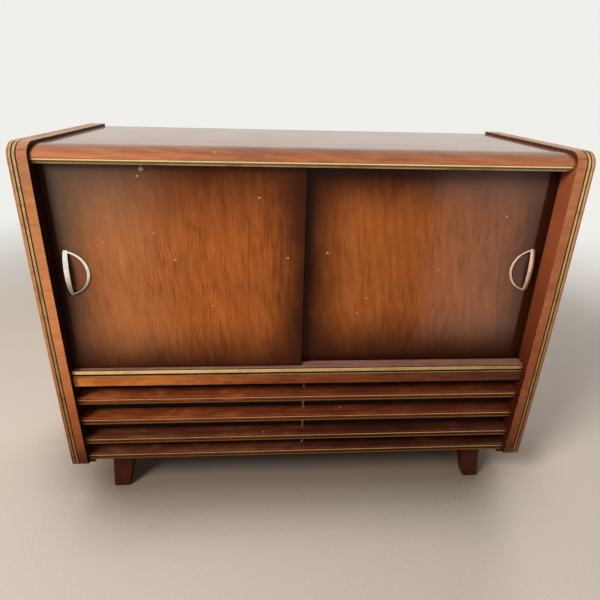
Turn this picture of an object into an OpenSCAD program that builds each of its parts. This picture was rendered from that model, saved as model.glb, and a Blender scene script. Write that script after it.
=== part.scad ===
// Stereo console on four short legs, built from separate pieces.
// Millimetres, +Z up, the front faces -Y. The origin is on the floor, under the middle of the cabinet.

/* [Cabinet] */
// Overall width across the side panels
cabinet_w = 1150; // [1000:10:1300]
// Overall depth of the side panels
cabinet_d = 436; // [400:2:500]
// Height of the side panels' upper edge above the floor
cabinet_h = 903; // [880:1:960]
// Height of the side panels' lower edge above the floor
panel_foot_z = 113; // [100:1:118]
// Thickness of a side panel
panel_t = 37.5; // [34:0.5:44]
// How far the front edge of a side panel bows forward
front_bow = 5; // [3:0.5:8]
// How much further forward the front edge is at the top than at the bottom
front_lean = 10; // [0:1:14]
// Radius of the upper front corner of a side panel
corner_top_r = 30; // [22:1:40]
// Radius of the lower front corner of a side panel
corner_foot_r = 10; // [6:1:16]
// How far rails and louvres stand behind the side panels' front edges
front_setback = 12; // [10:1:16]

/* [Boards] */
// Step from the side panels' upper edge down to the top board
top_drop = 6; // [4:1:10]
// Thickness of the top board
top_t = 24; // [20:1:26]
// How far back the rounded nose of the top board reaches
nose_depth = 42; // [30:1:50]
// Step from the side panels' front edges back to the top board's nose
nose_setback = 7; // [5:1:10]
// Thickness of the shelf board, the louvres and the bottom board
board_t = 20; // [18:1:22]
// Height of the shelf board's upper face, the floor of the upper compartment
shelf_z = 389; // [385:1:393]
// Height of the wooden fascia below the shelf's front edge
fascia_h = 26; // [23:0.5:29]
// Thickness of the fascia from front to back
fascia_t = 18; // [14:1:22]
// Thickness of the inner dividing boards
divider_t = 18; // [15:1:20]
// Thickness of the hardboard back panels
back_t = 4; // [3:0.5:5]
// Step from the side panels' back edges in to the back panels
back_inset = 10; // [8:1:14]

/* [Louvres] */
// Gap between the fascia and the first louvre
first_gap = 33.5; // [32:0.5:36]
// Gap between the last louvre and the bottom board
last_gap = 31; // [28:1:32]
// Gap between two louvres
louvre_gap = 41; // [38:1:42]
// Depth of the louvres from their front edge to the speaker cloth
louvre_reach = 36; // [34:1:40]
// Diameter of the small posts between the louvres
post_dia = 9; // [8:1:11]
// Gap between the posts and the speaker cloth
post_gap = 0.5; // [0.3:0.1:1]

/* [Doors] */
// Thickness of a door
door_t = 15; // [14:0.5:16]
// Gap between the front door and the rear door
door_gap = 4; // [3:0.5:6]
// Place of the front door's free edge, from the middle of the cabinet
meeting_x = -9; // [-20:1:20]
// How far the rear door reaches behind the front door
door_overlap = 22; // [16:1:40]
// Distance from the sill strip's front back to the front door
door_setback = 12; // [10:0.5:14]
// Drop from the side panels' upper edge to the doors' visible edge under the head strip
head_drop = 41; // [39:1:48]
// How far the doors reach up into the upper track
door_rise = 8; // [6:1:9]
// Clearance between a moving piece and what it runs beside
run_clear = 0.5; // [0.4:0.05:0.6]

/* [Handles] */
// Height of a handle
handle_h = 103; // [90:1:115]
// Width of the raised bar
handle_bar_w = 10; // [8:1:12]
// Thickness of the raised bar
handle_bar_t = 2.5; // [2:0.5:3]
// How far the bar stands off the door in the middle
handle_rise = 11; // [10:0.5:13]
// Width of the curved rim on the door
handle_rim_w = 6; // [5:0.5:7]
// Thickness of the curved rim
handle_rim_t = 3.5; // [2.5:0.5:4.5]
// Distance from the door's outer edge in to the bar
handle_edge = 19; // [16:1:24]
// Height of the handles' centre above the floor
handle_z = 630; // [600:5:660]

/* [Trim] */
// Width of the outer inlaid strip in a side panel
outer_inlay_w = 3.2; // [3:0.1:4]
// Width of the inner inlaid strip
inner_inlay_w = 4.8; // [4:0.1:5.5]
// Distance from the outer face to the first inlaid strip
inlay_edge = 4; // [3:0.5:5]
// Width of the dark groove beside each strip
inlay_groove = 3; // [2:0.5:4]
// Depth of the strips and grooves
inlay_depth = 2.5; // [2:0.5:3]
// How far the thin fascia strip stands out of the wood
strip_proud = 0.5; // [0.3:0.1:0.8]
// Height of the strip under the top board
top_strip_h = 3.5; // [3:0.5:4.5]
// Height of the strip over the doors
head_strip_h = 3.5; // [3:0.5:4.5]
// Height of the wide strip on the sill
sill_strip_h = 9; // [7:0.5:10]
// Height of the thin strip on the fascia
fascia_strip_h = 2; // [1.4:0.1:2.5]
// Thickness of the strips from front to back
strip_t = 4; // [3:0.5:5]
// Dark gap between the sill strip and the thin strip on the fascia
shadow_gap = 4; // [3:0.2:5]

/* [Legs] */
// Width of a leg at the floor
leg_foot_w = 40; // [28:1:46]
// Width of a leg at its upper end
leg_head_w = 56; // [46:1:60]
// Depth of a leg at the floor
leg_foot_d = 30; // [24:1:34]
// Depth of a leg at its upper end
leg_head_d = 46; // [36:1:48]
// Distance from a leg's outer face at the floor to the side panel's outer face
leg_side = 76; // [64:1:90]
// Distance from a leg's front or back face at the floor to the cabinet's edge
leg_end = 51; // [46:1:64]
// How far the leg's outer faces spread on the way down
leg_splay = 7; // [4:1:10]
// Thickness of the steel plate between a leg and the bottom board
leg_plate_t = 3; // [2:0.5:4]

/* [Speakers] */
// Thickness of the baffle board
baffle_t = 12; // [10:1:15]
// Thickness of the speaker cloth
cloth_t = 1; // [0.8:0.1:1.5]
// Diameter of the opening for a woofer
woofer_dia = 110; // [100:1:112]
// Diameter of the opening for a tweeter
tweeter_dia = 62; // [54:1:70]
// Distance from the middle of the cabinet to a woofer
woofer_x = 340; // [300:5:380]
// Distance from the middle of the cabinet to a tweeter
tweeter_x = 170; // [140:5:200]

/* [Radio] */
// Gap between the radio's front panel and the top board
radio_head_gap = 6; // [4:1:10]
// Gap between the radio's front panel and the boards on either side
radio_side_gap = 14; // [10:1:20]
// Height of the radio's front panel
radio_h = 132; // [128:1:134]
// Thickness of the radio's front panel
radio_panel_t = 6; // [5:0.5:8]
// Distance from the rear door back to the radio's front panel
radio_setback = 27; // [26:1:32]
// Room beside the dial for a knob
dial_side = 100; // [98:1:106]
// Height of the dial
dial_h = 60; // [50:1:62]
// Diameter of the volume and tuning knobs
knob_dia = 42; // [36:1:46]
// Diameter of the tone and balance knobs
small_knob_dia = 28; // [24:1:30]
// How far the knobs stand out from the panel
knob_l = 20; // [16:1:21]
// Width of a push key
key_w = 36; // [30:1:40]
// Height of a push key
key_h = 14; // [12:1:16]
// Travel of a push key
key_travel = 5; // [3:0.5:6]

/* [Record changer] */
// Height of the changer board's upper face over the shelf board
deck_rise = 124; // [110:2:140]
// Thickness of the changer board
deck_t = 16; // [14:1:18]
// Diameter of the platter
platter_dia = 254; // [240:2:260]
// Thickness of the platter with its mat
platter_t = 14; // [12:1:18]
// Diameter of the spindle
spindle_dia = 7.2; // [7:0.1:7.4]
// Height of the spindle over the platter
spindle_h = 95; // [60:5:110]
// Distance from the tonearm's pivot to its needle
arm_reach = 210; // [195:5:215]

/* [Hidden] */
$fn = 64;
eps = 0.01;

// Colours
c_panel = "#b9713f";
c_top = "#a85f38";
c_door = "#8a4a22";
c_dark = "#3a1a0c";
c_slat = "#7a3c1e";
c_brass = "#d9b66a";
c_metal = "#c9c4b8";
c_steel = "#8f9294";
c_cream = "#e6dcc0";
c_black = "#1e1a18";

// Main places
half_w = cabinet_w / 2;
half_d = cabinet_d / 2;
inner_x = half_w - panel_t;
mid_z = (cabinet_h + panel_foot_z) / 2;
half_h = (cabinet_h - panel_foot_z) / 2;
bow_peak = front_lean / (4 * front_bow);
top_z = cabinet_h - top_drop;
top_under_z = top_z - top_t;
door_head_z = cabinet_h - head_drop;
shelf_under_z = shelf_z - board_t;
back_y = half_d - back_inset;
inner_back_y = back_y - back_t;

// The front edge of a side panel at height z, a shallow bow that leans back towards the floor
function front_y(z) = -half_d + front_bow * pow((z - mid_z) / half_h - bow_peak, 2);
// The front of rails and louvres at height z
function rail_y(z) = front_y(z) + front_setback;

sill_y = rail_y(shelf_z);
front_door_y = sill_y + door_setback;
rear_door_y = front_door_y + door_t + door_gap;
inner_front_y = rear_door_y + door_t + 8;

function arc_points(cy, cz, r, a0, a1, n) =
    [for (k = [0:n]) let(a = a0 + (a1 - a0) * k / n) [cy + r * cos(a), cz + r * sin(a)]];

// Side outline of a panel in the Y and Z directions, drawn in by a step from its front and top edges
function panel_outline(step, bottom, back) = concat(
    arc_points(front_y(panel_foot_z + corner_foot_r) + corner_foot_r, bottom + corner_foot_r,
        corner_foot_r - step, 270, 180, 6),
    [for (k = [1:15]) let(z = panel_foot_z + corner_foot_r
        + (cabinet_h - corner_top_r - panel_foot_z - corner_foot_r) * k / 16) [front_y(z) + step, z]],
    arc_points(front_y(cabinet_h - corner_top_r) + corner_top_r, cabinet_h - corner_top_r,
        corner_top_r - step, 180, 90, 18),
    [[back, cabinet_h - step], [back, bottom + step]]);

// Extrudes a Y and Z outline along X
module along_x(x0, length) {
    translate([x0, 0, 0]) rotate([90, 0, 90]) linear_extrude(length) children();
}

// A board between the side panels
module board(y0, y1, z0, z1) {
    translate([-inner_x, y0, z0]) cube([2 * inner_x, y1 - y0, z1 - z0]);
}

// A cylinder that points forwards, from y0 to y1
module rod_y(x, y0, y1, z, d) {
    translate([x, y0, z]) rotate([-90, 0, 0]) cylinder(d = d, h = y1 - y0);
}

module both_sides() {
    children();
    mirror([1, 0, 0]) children();
}

// Band along the front and top edges of a side panel, between two depths
module edge_band(outer_step, inner_step) {
    difference() {
        polygon(panel_outline(outer_step, panel_foot_z, half_d));
        polygon(panel_outline(inner_step, panel_foot_z - 2 * corner_foot_r, half_d + 1));
    }
}

// Where each inlaid strip starts, from the outer face, and its width
inlays = [[inlay_edge, outer_inlay_w], [inlay_edge + outer_inlay_w + inlay_groove, inner_inlay_w]];
inlay_band_w = outer_inlay_w + inner_inlay_w + 2 * inlay_groove;

module side_panel() {
    difference() {
        along_x(-half_w, panel_t) polygon(panel_outline(0, panel_foot_z, half_d));
        along_x(-half_w + inlay_edge, inlay_band_w) difference() {
            edge_band(-1, inlay_depth);
            translate([-cabinet_d, 0]) square([2 * cabinet_d, panel_foot_z + corner_foot_r / 2]);
        }
    }
}

module side_inlays() {
    color(c_brass) both_sides() for (strip = inlays)
        along_x(-half_w + strip[0], strip[1]) intersection() {
            edge_band(0, inlay_depth);
            translate([-cabinet_d, panel_foot_z + corner_foot_r / 2]) square([2 * cabinet_d, cabinet_h]);
        }
}

module left_side_panel() { color(c_panel) side_panel(); }
module right_side_panel() { color(c_panel) mirror([1, 0, 0]) side_panel(); }

nose_y = front_y(top_z) + nose_setback;

// Top board with a long rounded nose, a quarter ellipse
module top_board() {
    nose_lip = 3;
    color(c_top) along_x(-inner_x, 2 * inner_x) polygon(concat(
        [[nose_y, top_under_z]],
        [for (a = [0:5:90]) [nose_y + nose_depth * (1 - cos(a)),
            top_under_z + nose_lip + (top_t - nose_lip) * sin(a)]],
        [[inner_back_y, top_z], [inner_back_y, top_under_z]]));
}

head_rail_y = nose_y + strip_t;
head_z = door_head_z + head_strip_h;

track_lip = 3;

module head_rail() {
    color(c_dark) board(head_rail_y, front_door_y - track_lip, head_z, top_under_z);
}

module top_strip() {
    color(c_brass) board(nose_y, head_rail_y, top_under_z - top_strip_h, top_under_z);
}

module head_strip() {
    color(c_brass) board(head_rail_y + strip_t, front_door_y - track_lip, door_head_z, head_z);
}

track_slack = 1;

// Block with two channels that hold the doors' upper edges
module upper_door_track() {
    color(c_dark) difference() {
        board(front_door_y - track_lip, rear_door_y + door_t + track_lip, door_head_z, top_under_z);
        for (y = [front_door_y, rear_door_y])
            board(y - run_clear, y + door_t + run_clear,
                door_head_z - 1, door_head_z + door_rise + track_slack);
    }
}

module shelf_board() {
    color(c_dark) board(sill_y + strip_t, inner_back_y, shelf_under_z, shelf_z);
}

module sill_strip() {
    color(c_brass) board(sill_y, sill_y + strip_t, shelf_z - sill_strip_h, shelf_z);
}

rib_w = 3;
rib_h = 4;
track_base_t = 1;

// Flat strip on the shelf with a rib for each door
module lower_door_track() {
    color(c_top) {
        board(sill_y + strip_t, rear_door_y + door_t + 2, shelf_z, shelf_z + track_base_t);
        for (y = [front_door_y, rear_door_y])
            board(y + (door_t - rib_w) / 2, y + (door_t + rib_w) / 2,
                shelf_z, shelf_z + track_base_t + rib_h);
    }
}

fascia_top_z = shelf_z - sill_strip_h - shadow_gap - fascia_strip_h;
fascia_z = fascia_top_z - fascia_h;

// Rail under the shelf board, with a lip up its front edge
module fascia() {
    color(c_slat) {
        board(sill_y, sill_y + strip_t, fascia_z, fascia_top_z);
        board(sill_y, sill_y + fascia_t, fascia_z, shelf_under_z);
    }
}

module fascia_strip() {
    color(c_brass) board(sill_y - strip_proud, sill_y + strip_t, fascia_top_z, fascia_top_z + fascia_strip_h);
}

// Upper faces of the three louvres and the bottom board
louvre_top = [fascia_z - first_gap,
    fascia_z - first_gap - board_t - louvre_gap,
    fascia_z - first_gap - 2 * (board_t + louvre_gap),
    fascia_z - first_gap - 3 * board_t - 2 * louvre_gap - last_gap];
cloth_y = rail_y(louvre_top[0]) + louvre_reach;
bottom_z = louvre_top[3];

bead_h = 5.5;
bead_r = 4;
reed_depth = 2;
reed_gap = 1.2;
thin_strip_h = 2.4;
wide_strip_h = 4.2;

// Wooden section of a louvre: a rounded bead over a recessed face that carries two strips
module louvre(top, y_back) {
    y = rail_y(top);
    color(c_slat) along_x(-inner_x, 2 * inner_x) polygon(concat(
        [[y_back, top - board_t], [y + reed_depth, top - board_t],
            [y + reed_depth, top - bead_h], [y, top - bead_h]],
        arc_points(y + bead_r, top - bead_r, bead_r, 180, 90, 6),
        [[y_back, top]]));
}

module upper_louvre() { louvre(louvre_top[0], cloth_y); }
module middle_louvre() { louvre(louvre_top[1], cloth_y); }
module lower_louvre() { louvre(louvre_top[2], cloth_y); }
module bottom_board() { louvre(bottom_z, inner_back_y); }

module louvre_strips() {
    color(c_brass) for (top = louvre_top, strip = [[bead_h + reed_gap, thin_strip_h],
            [board_t - wide_strip_h, wide_strip_h]])
        board(rail_y(top), rail_y(top) + reed_depth, top - strip[0] - strip[1], top - strip[0]);
}

post_y = cloth_y - post_gap - post_dia / 2;
post_span = [[louvre_top[0], shelf_under_z - louvre_top[0]], [louvre_top[1], louvre_gap],
    [louvre_top[2], louvre_gap], [bottom_z, last_gap]];

// Small posts that hold the louvres apart in the middle
module louvre_posts() {
    color(c_brass) for (s = post_span)
        translate([0, post_y, s[0]]) cylinder(d = post_dia, h = s[1]);
}

cleat_w = 12;
cleat_nose_r = 6;
cleat_drop = 3;

// Dark battens under the bottom board, one along each side panel
module bottom_cleats() {
    cleat_y = rail_y(bottom_z);
    foot_z = panel_foot_z - cleat_drop;
    color(c_black) both_sides()
        along_x(inner_x - cleat_w, cleat_w) polygon(concat(
            [[cleat_y, bottom_z - board_t]],
            arc_points(cleat_y + cleat_nose_r, foot_z + cleat_nose_r, cleat_nose_r, 180, 270, 6),
            [[inner_back_y, foot_z], [inner_back_y, bottom_z - board_t]]));
}

leg_h = bottom_z - board_t - leg_plate_t;
leg_x = half_w - leg_side;
leg_y = half_d - leg_end;

// Tapered leg whose outer faces spread towards the floor: one outline from the front, one from the side
module leg() {
    intersection() {
        translate([0, half_d, 0]) rotate([90, 0, 0]) linear_extrude(cabinet_d) polygon([
            [leg_x - leg_foot_w, 0], [leg_x, 0],
            [leg_x - leg_splay, leg_h], [leg_x - leg_splay - leg_head_w, leg_h]]);
        along_x(0, half_w) polygon([
            [leg_y - leg_foot_d, 0], [leg_y, 0],
            [leg_y - leg_splay, leg_h], [leg_y - leg_splay - leg_head_d, leg_h]]);
    }
}

module four_corners() {
    both_sides() {
        children();
        mirror([0, 1, 0]) children();
    }
}

module legs() { color(c_slat) four_corners() leg(); }

plate_margin = 8;

module leg_plates() {
    color(c_steel) four_corners()
        translate([leg_x - leg_splay - leg_head_w - plate_margin,
                leg_y - leg_splay - leg_head_d - plate_margin, leg_h])
            cube([leg_head_w + 2 * plate_margin, leg_head_d + 2 * plate_margin, leg_plate_t]);
}

vent_w = 60;
vent_h = 6;

// Hardboard panel with rows of vent slots
module back_panel(z0, z1, rows, columns) {
    pitch_x = 2 * inner_x / (columns + 1);
    pitch_z = (z1 - z0) / (rows + 1);
    color("#7b6243") difference() {
        board(inner_back_y, back_y, z0, z1);
        for (i = [1:columns], j = [1:rows])
            translate([-inner_x + i * pitch_x - vent_w / 2, inner_back_y - 1, z0 + j * pitch_z - vent_h / 2])
                cube([vent_w, back_t + 2, vent_h]);
    }
}

back_joint_z = shelf_z - board_t / 2;
module upper_back_panel() { back_panel(back_joint_z + run_clear, top_z, 5, 6); }
module lower_back_panel() { back_panel(bottom_z - board_t, back_joint_z, 3, 6); }

screw_dia = 8;
screw_t = 2;

module back_screws() {
    row_gap = board_t / 4;
    screw_z = [bottom_z - board_t / 2, back_joint_z - row_gap, back_joint_z + row_gap,
        top_under_z + top_t / 2];
    color(c_steel) for (x = [-1, -1 / 3, 1 / 3, 1] * (inner_x - 40), z = screw_z)
        rod_y(x, back_y, back_y + screw_t, z, screw_dia);
}

inlet_x = 400;
inlet_z = bottom_z + 30;

// Two-pin mains inlet on the lower back panel
module mains_inlet() {
    color(c_black) difference() {
        translate([inlet_x - 22, back_y, inlet_z - 14]) cube([44, 8, 28]);
        translate([inlet_x - 15, back_y + 2, inlet_z - 9]) cube([30, 8, 18]);
    }
    color(c_steel) for (dx = [-8, 8])
        rod_y(inlet_x + dx, back_y + 1.5, back_y + 7, inlet_z, 4);
}

speaker_z = (bottom_z + shelf_under_z) / 2;
baffle_y = cloth_y + cloth_t;
baffle_back_y = baffle_y + baffle_t;

module baffle_board() {
    color("#8b6b45") difference() {
        board(baffle_y, baffle_back_y, bottom_z, shelf_under_z);
        both_sides() {
            rod_y(woofer_x, baffle_y - 1, baffle_back_y + 1, speaker_z, woofer_dia);
            rod_y(tweeter_x, baffle_y - 1, baffle_back_y + 1, speaker_z, tweeter_dia);
        }
    }
}

module speaker_cloth() {
    color("#2a211b") board(cloth_y, baffle_y, bottom_z, shelf_under_z);
}

// A ring profile turned about an axis that points backwards from the baffle
module turned_y(x, y, z) {
    translate([x, y, z]) rotate([-90, 0, 0]) rotate_extrude() children();
}

basket_depth = 42;
magnet_dia = 72;
magnet_t = 24;
flange_w = 11;
flange_t = 3;
cone_depth = 30;
cone_t = 1.5;
cap_dia = 36;
tweeter_depth = 24;
tweeter_magnet_dia = 40;
tweeter_magnet_t = 16;
tweeter_horn = 16;

// Frame, basket and magnet of a woofer
module woofer() {
    r = woofer_dia / 2;
    color(c_steel) turned_y(woofer_x, baffle_back_y, speaker_z) polygon([
        [r - flange_t, 0], [r + flange_w, 0], [r + flange_w, flange_t], [r + flange_t, flange_t],
        [magnet_dia / 2, basket_depth], [magnet_dia / 2, basket_depth + magnet_t],
        [0, basket_depth + magnet_t], [0, basket_depth],
        [magnet_dia / 2 - flange_t, basket_depth], [r - flange_t, 2 * flange_t]]);
}

// Paper cone with its dust cap
module woofer_cone() {
    r = woofer_dia / 2 - flange_t;
    cap_r = cap_dia / 2;
    color("#3b3229") turned_y(woofer_x, baffle_back_y, speaker_z) polygon([
        [r, 0], [r, cone_t], [cap_r, cone_depth], [0, cone_depth + cone_t],
        [0, cone_depth], [cap_r - cone_t, cone_depth - cone_t]]);
}

module left_woofer() { mirror([1, 0, 0]) woofer(); }
module right_woofer() { woofer(); }
module woofer_cones() { both_sides() woofer_cone(); }

module tweeter() {
    r = tweeter_dia / 2;
    magnet_r = tweeter_magnet_dia / 2;
    color(c_steel) turned_y(tweeter_x, baffle_back_y, speaker_z) polygon([
        [r - flange_t, 0], [r + flange_w - flange_t, 0], [r + flange_w - flange_t, flange_t], [r, flange_t],
        [magnet_r, tweeter_depth], [magnet_r, tweeter_depth + tweeter_magnet_t],
        [0, tweeter_depth + tweeter_magnet_t], [0, tweeter_depth - flange_t],
        [tweeter_horn / 2, tweeter_depth - flange_t]]);
}

module tweeters() { both_sides() tweeter(); }

door_z = shelf_z + track_base_t + 0.3;
door_top_z = door_head_z + door_rise;
side_clear = 1;

// Flat door with a groove for its rib in the lower edge
module door(x0, x1, y) {
    color(c_door) difference() {
        translate([x0, y, door_z]) cube([x1 - x0, door_t, door_top_z - door_z]);
        translate([x0 - 1, y + (door_t - rib_w) / 2 - run_clear, door_z - 1])
            cube([x1 - x0 + 2, rib_w + 2 * run_clear, rib_h + 1 + run_clear]);
    }
}

module left_door() { door(-inner_x + side_clear, meeting_x, front_door_y); }
module right_door() { door(meeting_x - door_overlap, inner_x - side_clear, rear_door_y); }

handle_x = inner_x - side_clear - handle_edge;
handle_rim_r = handle_h / 2;

// Half-moon handle: a flat curved rim on the door and a raised bar across its ends
module handle(y) {
    color(c_metal) {
        // Curved rim
        difference() {
            rod_y(handle_x, y - handle_rim_t, y, handle_z, handle_h);
            rod_y(handle_x, y - handle_rim_t - 1, y + 1, handle_z, handle_h - 2 * handle_rim_w);
            translate([handle_x, y - handle_rise, handle_z - handle_h])
                cube([handle_h, 2 * handle_rise, 2 * handle_h]);
        }
        // Raised bar, an arc between two feet
        intersection() {
            along_x(handle_x - handle_bar_w, handle_bar_w) bar_outline(y);
            translate([handle_x - handle_bar_w, y - handle_rise - 1, handle_z - handle_rim_r])
                cube([handle_bar_w, handle_rise + 1, handle_h]);
        }
    }
}

// Side outline of the bar: a circle through its two ends and its highest point
module bar_outline(y) {
    rise = handle_rise - handle_rim_t;
    arc_r = (pow(handle_rim_r, 2) + pow(rise, 2)) / (2 * rise);
    centre_y = y - handle_rise + arc_r;
    difference() {
        translate([centre_y, handle_z]) circle(arc_r, $fn = 200);
        translate([centre_y, handle_z]) circle(arc_r - handle_bar_t, $fn = 200);
        translate([y, handle_z - 2 * arc_r]) square([3 * arc_r, 4 * arc_r]);
    }
    // Feet of the bar
    for (s = [-1, 1])
        translate([y - handle_rim_t - 1, handle_z + s * (handle_rim_r - handle_rim_w / 2) - handle_rim_w / 2])
            square([handle_rim_t + 1, handle_rim_w]);
}

module left_handle() { mirror([1, 0, 0]) handle(front_door_y); }
module right_handle() { handle(rear_door_y); }

module centre_divider() {
    color(c_dark) translate([-divider_t / 2, inner_front_y, shelf_z])
        cube([divider_t, inner_back_y - inner_front_y, top_under_z - shelf_z]);
}

bay_centre = (inner_x + divider_t / 2) / 2;
bay_w = inner_x - divider_t / 2;
radio_z = top_under_z - radio_head_gap - radio_h;
radio_shelf_z = radio_z - deck_t;

module radio_shelf() {
    color(c_dark) translate([-inner_x, inner_front_y, radio_shelf_z])
        cube([bay_w, inner_back_y - inner_front_y, deck_t]);
}

record_divider_t = 4;
record_divider_d = 280;

// Upright boards that part the record compartment
module record_dividers() {
    color(c_panel) for (k = [-1, 0, 1])
        translate([-bay_centre + k * bay_w / 4 - record_divider_t / 2,
                inner_back_y - record_divider_d, shelf_z])
            cube([record_divider_t, record_divider_d, radio_shelf_z - shelf_z]);
}

radio_x = -bay_centre;
radio_w = bay_w - 2 * radio_side_gap;
dial_w = radio_w - 2 * dial_side;
radio_y = rear_door_y + door_t + radio_setback;
radio_back_y = radio_y + radio_panel_t;
dial_z = radio_z + radio_h - dial_h - 12;
key_z = radio_z + 16;
key_pitch = key_w + 12;
knob_z = dial_z + dial_h / 2;
knob_dx = radio_w / 2 - knob_dia / 2 - 22;
small_knob_z = radio_z + 26;
shaft_dia = 6;
shaft_clear = 0.1;
chassis_gap = 6;
chassis_y = radio_back_y + chassis_gap;
key_slot_clear = 0.5;

module radio_panel() {
    color(c_cream) difference() {
        translate([radio_x - radio_w / 2, radio_y, radio_z]) cube([radio_w, radio_panel_t, radio_h]);
        for (s = [-1, 1], z = [knob_z, small_knob_z])
            rod_y(radio_x + s * knob_dx, radio_y - 1, radio_back_y + 1, z, shaft_dia + 2 * shaft_clear);
        for (k = [0:3])
            translate([key_x(k) - key_w / 2 - key_slot_clear, radio_y - 1, key_z - key_slot_clear])
                cube([key_w + 2 * key_slot_clear, radio_panel_t + 2, key_h + 2 * key_slot_clear]);
    }
}

function key_x(k) = radio_x + (k - 1.5) * key_pitch;

sheet_t = 1.5;
tray_vent_dia = 3;
tray_gap = 8;
radio_tray_side = 20;
radio_tray_d = 190;
radio_tray_h = 46;
capacitor_w = 90;
capacitor_d = 60;
capacitor_h = 48;
transformer_w = 70;
transformer_d = 80;
transformer_h = 60;
bracket_w = 16;
valve_dia = 24;
valve_h = 62;

// Folded sheet box, closed but for a small vent in its lower cover
module tray(x, y, z, size) {
    difference() {
        translate([x - size[0] / 2, y, z]) cube(size);
        translate([x - size[0] / 2 + sheet_t, y + sheet_t, z + sheet_t])
            cube([size[0] - 2 * sheet_t, size[1] - 2 * sheet_t, size[2] - 2 * sheet_t]);
        translate([x, y + size[1] / 2, z - 1]) cylinder(d = tray_vent_dia, h = sheet_t + 2);
    }
}

// Row of valves, each a glass tube on its socket
module valves(x, y, z, count, pitch, dia, h) {
    color("#cfd6d8") for (k = [0:count - 1])
        translate([x + k * pitch, y, z - eps]) {
            cylinder(d = dia, h = h - dia / 2);
            translate([0, 0, h - dia / 2]) sphere(d = dia);
        }
}

// Metal box with the transformer, the tuning capacitor and the valves
module radio_chassis() {
    tray_w = radio_w - 2 * radio_tray_side;
    tray_y = chassis_y + tray_gap;
    tray_top = radio_z + radio_tray_h;
    part_y = tray_y + radio_tray_d / 4;
    color(c_steel) {
        tray(radio_x, tray_y, radio_z, [tray_w, radio_tray_d, radio_tray_h]);
        translate([radio_x - tray_w / 2 + bracket_w, part_y, tray_top - eps])
            cube([transformer_w, transformer_d, transformer_h]);
        translate([radio_x + capacitor_w / 2, part_y, tray_top - eps])
            cube([capacitor_w, capacitor_d, capacitor_h]);
        // Brackets that hold the front panel
        for (s = [-1, 1])
            translate([radio_x + s * (tray_w - bracket_w) / 2 - bracket_w / 2, radio_back_y, radio_z])
                cube([bracket_w, tray_y - radio_back_y + eps, radio_tray_h]);
    }
    valves(radio_x - 4 * valve_dia, tray_y + radio_tray_d - 2 * valve_dia, tray_top,
        4, 1.7 * valve_dia, valve_dia, valve_h);
}

scale_t = 1.5;
cover_wall = 2.5;
pointer_t = 1.5;
pointer_room = 5;
cover_y = radio_y - scale_t - pointer_room - cover_wall;

module dial_scale() {
    color("#e9e1c4") translate([radio_x - dial_w / 2, radio_y - scale_t, dial_z])
        cube([dial_w, scale_t, dial_h]);
}

// Clear cover over the dial, a channel that is open at its back and ends
module dial_cover() {
    color([0.8, 0.9, 0.85, 0.4]) along_x(radio_x - dial_w / 2, dial_w) difference() {
        translate([cover_y, dial_z - cover_wall]) square([radio_y - cover_y, dial_h + 2 * cover_wall]);
        translate([cover_y + cover_wall, dial_z]) square([radio_y - cover_y, dial_h]);
    }
}

// Needle with a slider that runs in the cover's channel
module tuning_pointer() {
    slider = [14, pointer_room - 1, 6];
    y = cover_y + cover_wall + 0.5;
    color("#c8402a") {
        translate([radio_x - 1, y + 1, dial_z + 0.5]) cube([2, pointer_t, dial_h - 1]);
        translate([radio_x - slider[0] / 2, y, dial_z + dial_h - slider[2] - 0.3]) cube(slider);
    }
}

// Knob with a fluted skirt, a cap and a shaft through the panel
module knob(x, z, d) {
    flutes = 24;
    color(c_cream) difference() {
        rod_y(x, radio_y - knob_l, radio_y - 1, z, d);
        for (k = [0:flutes - 1])
            translate([x, radio_y - knob_l - 1, z]) rotate([0, k * 360 / flutes, 0]) translate([d / 2, 0, 0])
                rotate([-90, 0, 0]) cylinder(d = 2, h = knob_l - 4, $fn = 16);
    }
    color(c_brass) rod_y(x, radio_y - knob_l - 1, radio_y - knob_l + eps, z, d * 0.6);
    color(c_steel) rod_y(x, radio_y - 1 - eps, chassis_y + tray_gap - 0.5, z, shaft_dia);
}

module volume_knob() { knob(radio_x - knob_dx, knob_z, knob_dia); }
module tuning_knob() { knob(radio_x + knob_dx, knob_z, knob_dia); }
module tone_knob() { knob(radio_x - knob_dx, small_knob_z, small_knob_dia); }
module balance_knob() { knob(radio_x + knob_dx, small_knob_z, small_knob_dia); }

// Push key that slides through its slot in the panel
module push_key(k) {
    stand = key_travel + 6;
    color(c_cream) translate([key_x(k) - key_w / 2, radio_y - stand, key_z])
        cube([key_w, stand + radio_panel_t + 0.5, key_h]);
}

module key_off() { push_key(0); }
module key_radio() { push_key(1); }
module key_record() { push_key(2); }
module key_stereo() { push_key(3); }

deck_z = shelf_z + deck_rise;
plate_t = 3;
plate_z = deck_z + plate_t;
plate_w = 420;
plate_d = 320;
plate_y = (inner_front_y + inner_back_y) / 2 - 5;
plate_edge = 55;
platter_x = bay_centre - 45;
arm_x = bay_centre + plate_w / 2 - plate_edge;
arm_y = plate_y + plate_d / 2 - plate_edge;
bearing_dia = 20;
platter_z = plate_z + 3;
deck_hole = 60;

module changer_board() {
    color(c_dark) difference() {
        translate([divider_t / 2, inner_front_y, deck_z - deck_t])
            cube([bay_w, inner_back_y - inner_front_y, deck_t]);
        translate([platter_x, plate_y, deck_z - deck_t - 1]) cylinder(d = deck_hole, h = deck_t + 2);
    }
}

platter_top_z = platter_z + platter_t;
arm_rest_y = arm_y - arm_reach * 0.72;
arm_z = platter_top_z + 14;
arm_tube_d = 9;
arm_block_h = 12;
arm_block_w = 22;
arm_tail = 44;
head_w = 18;
head_l = 40;
needle_drop = 10;

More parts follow.
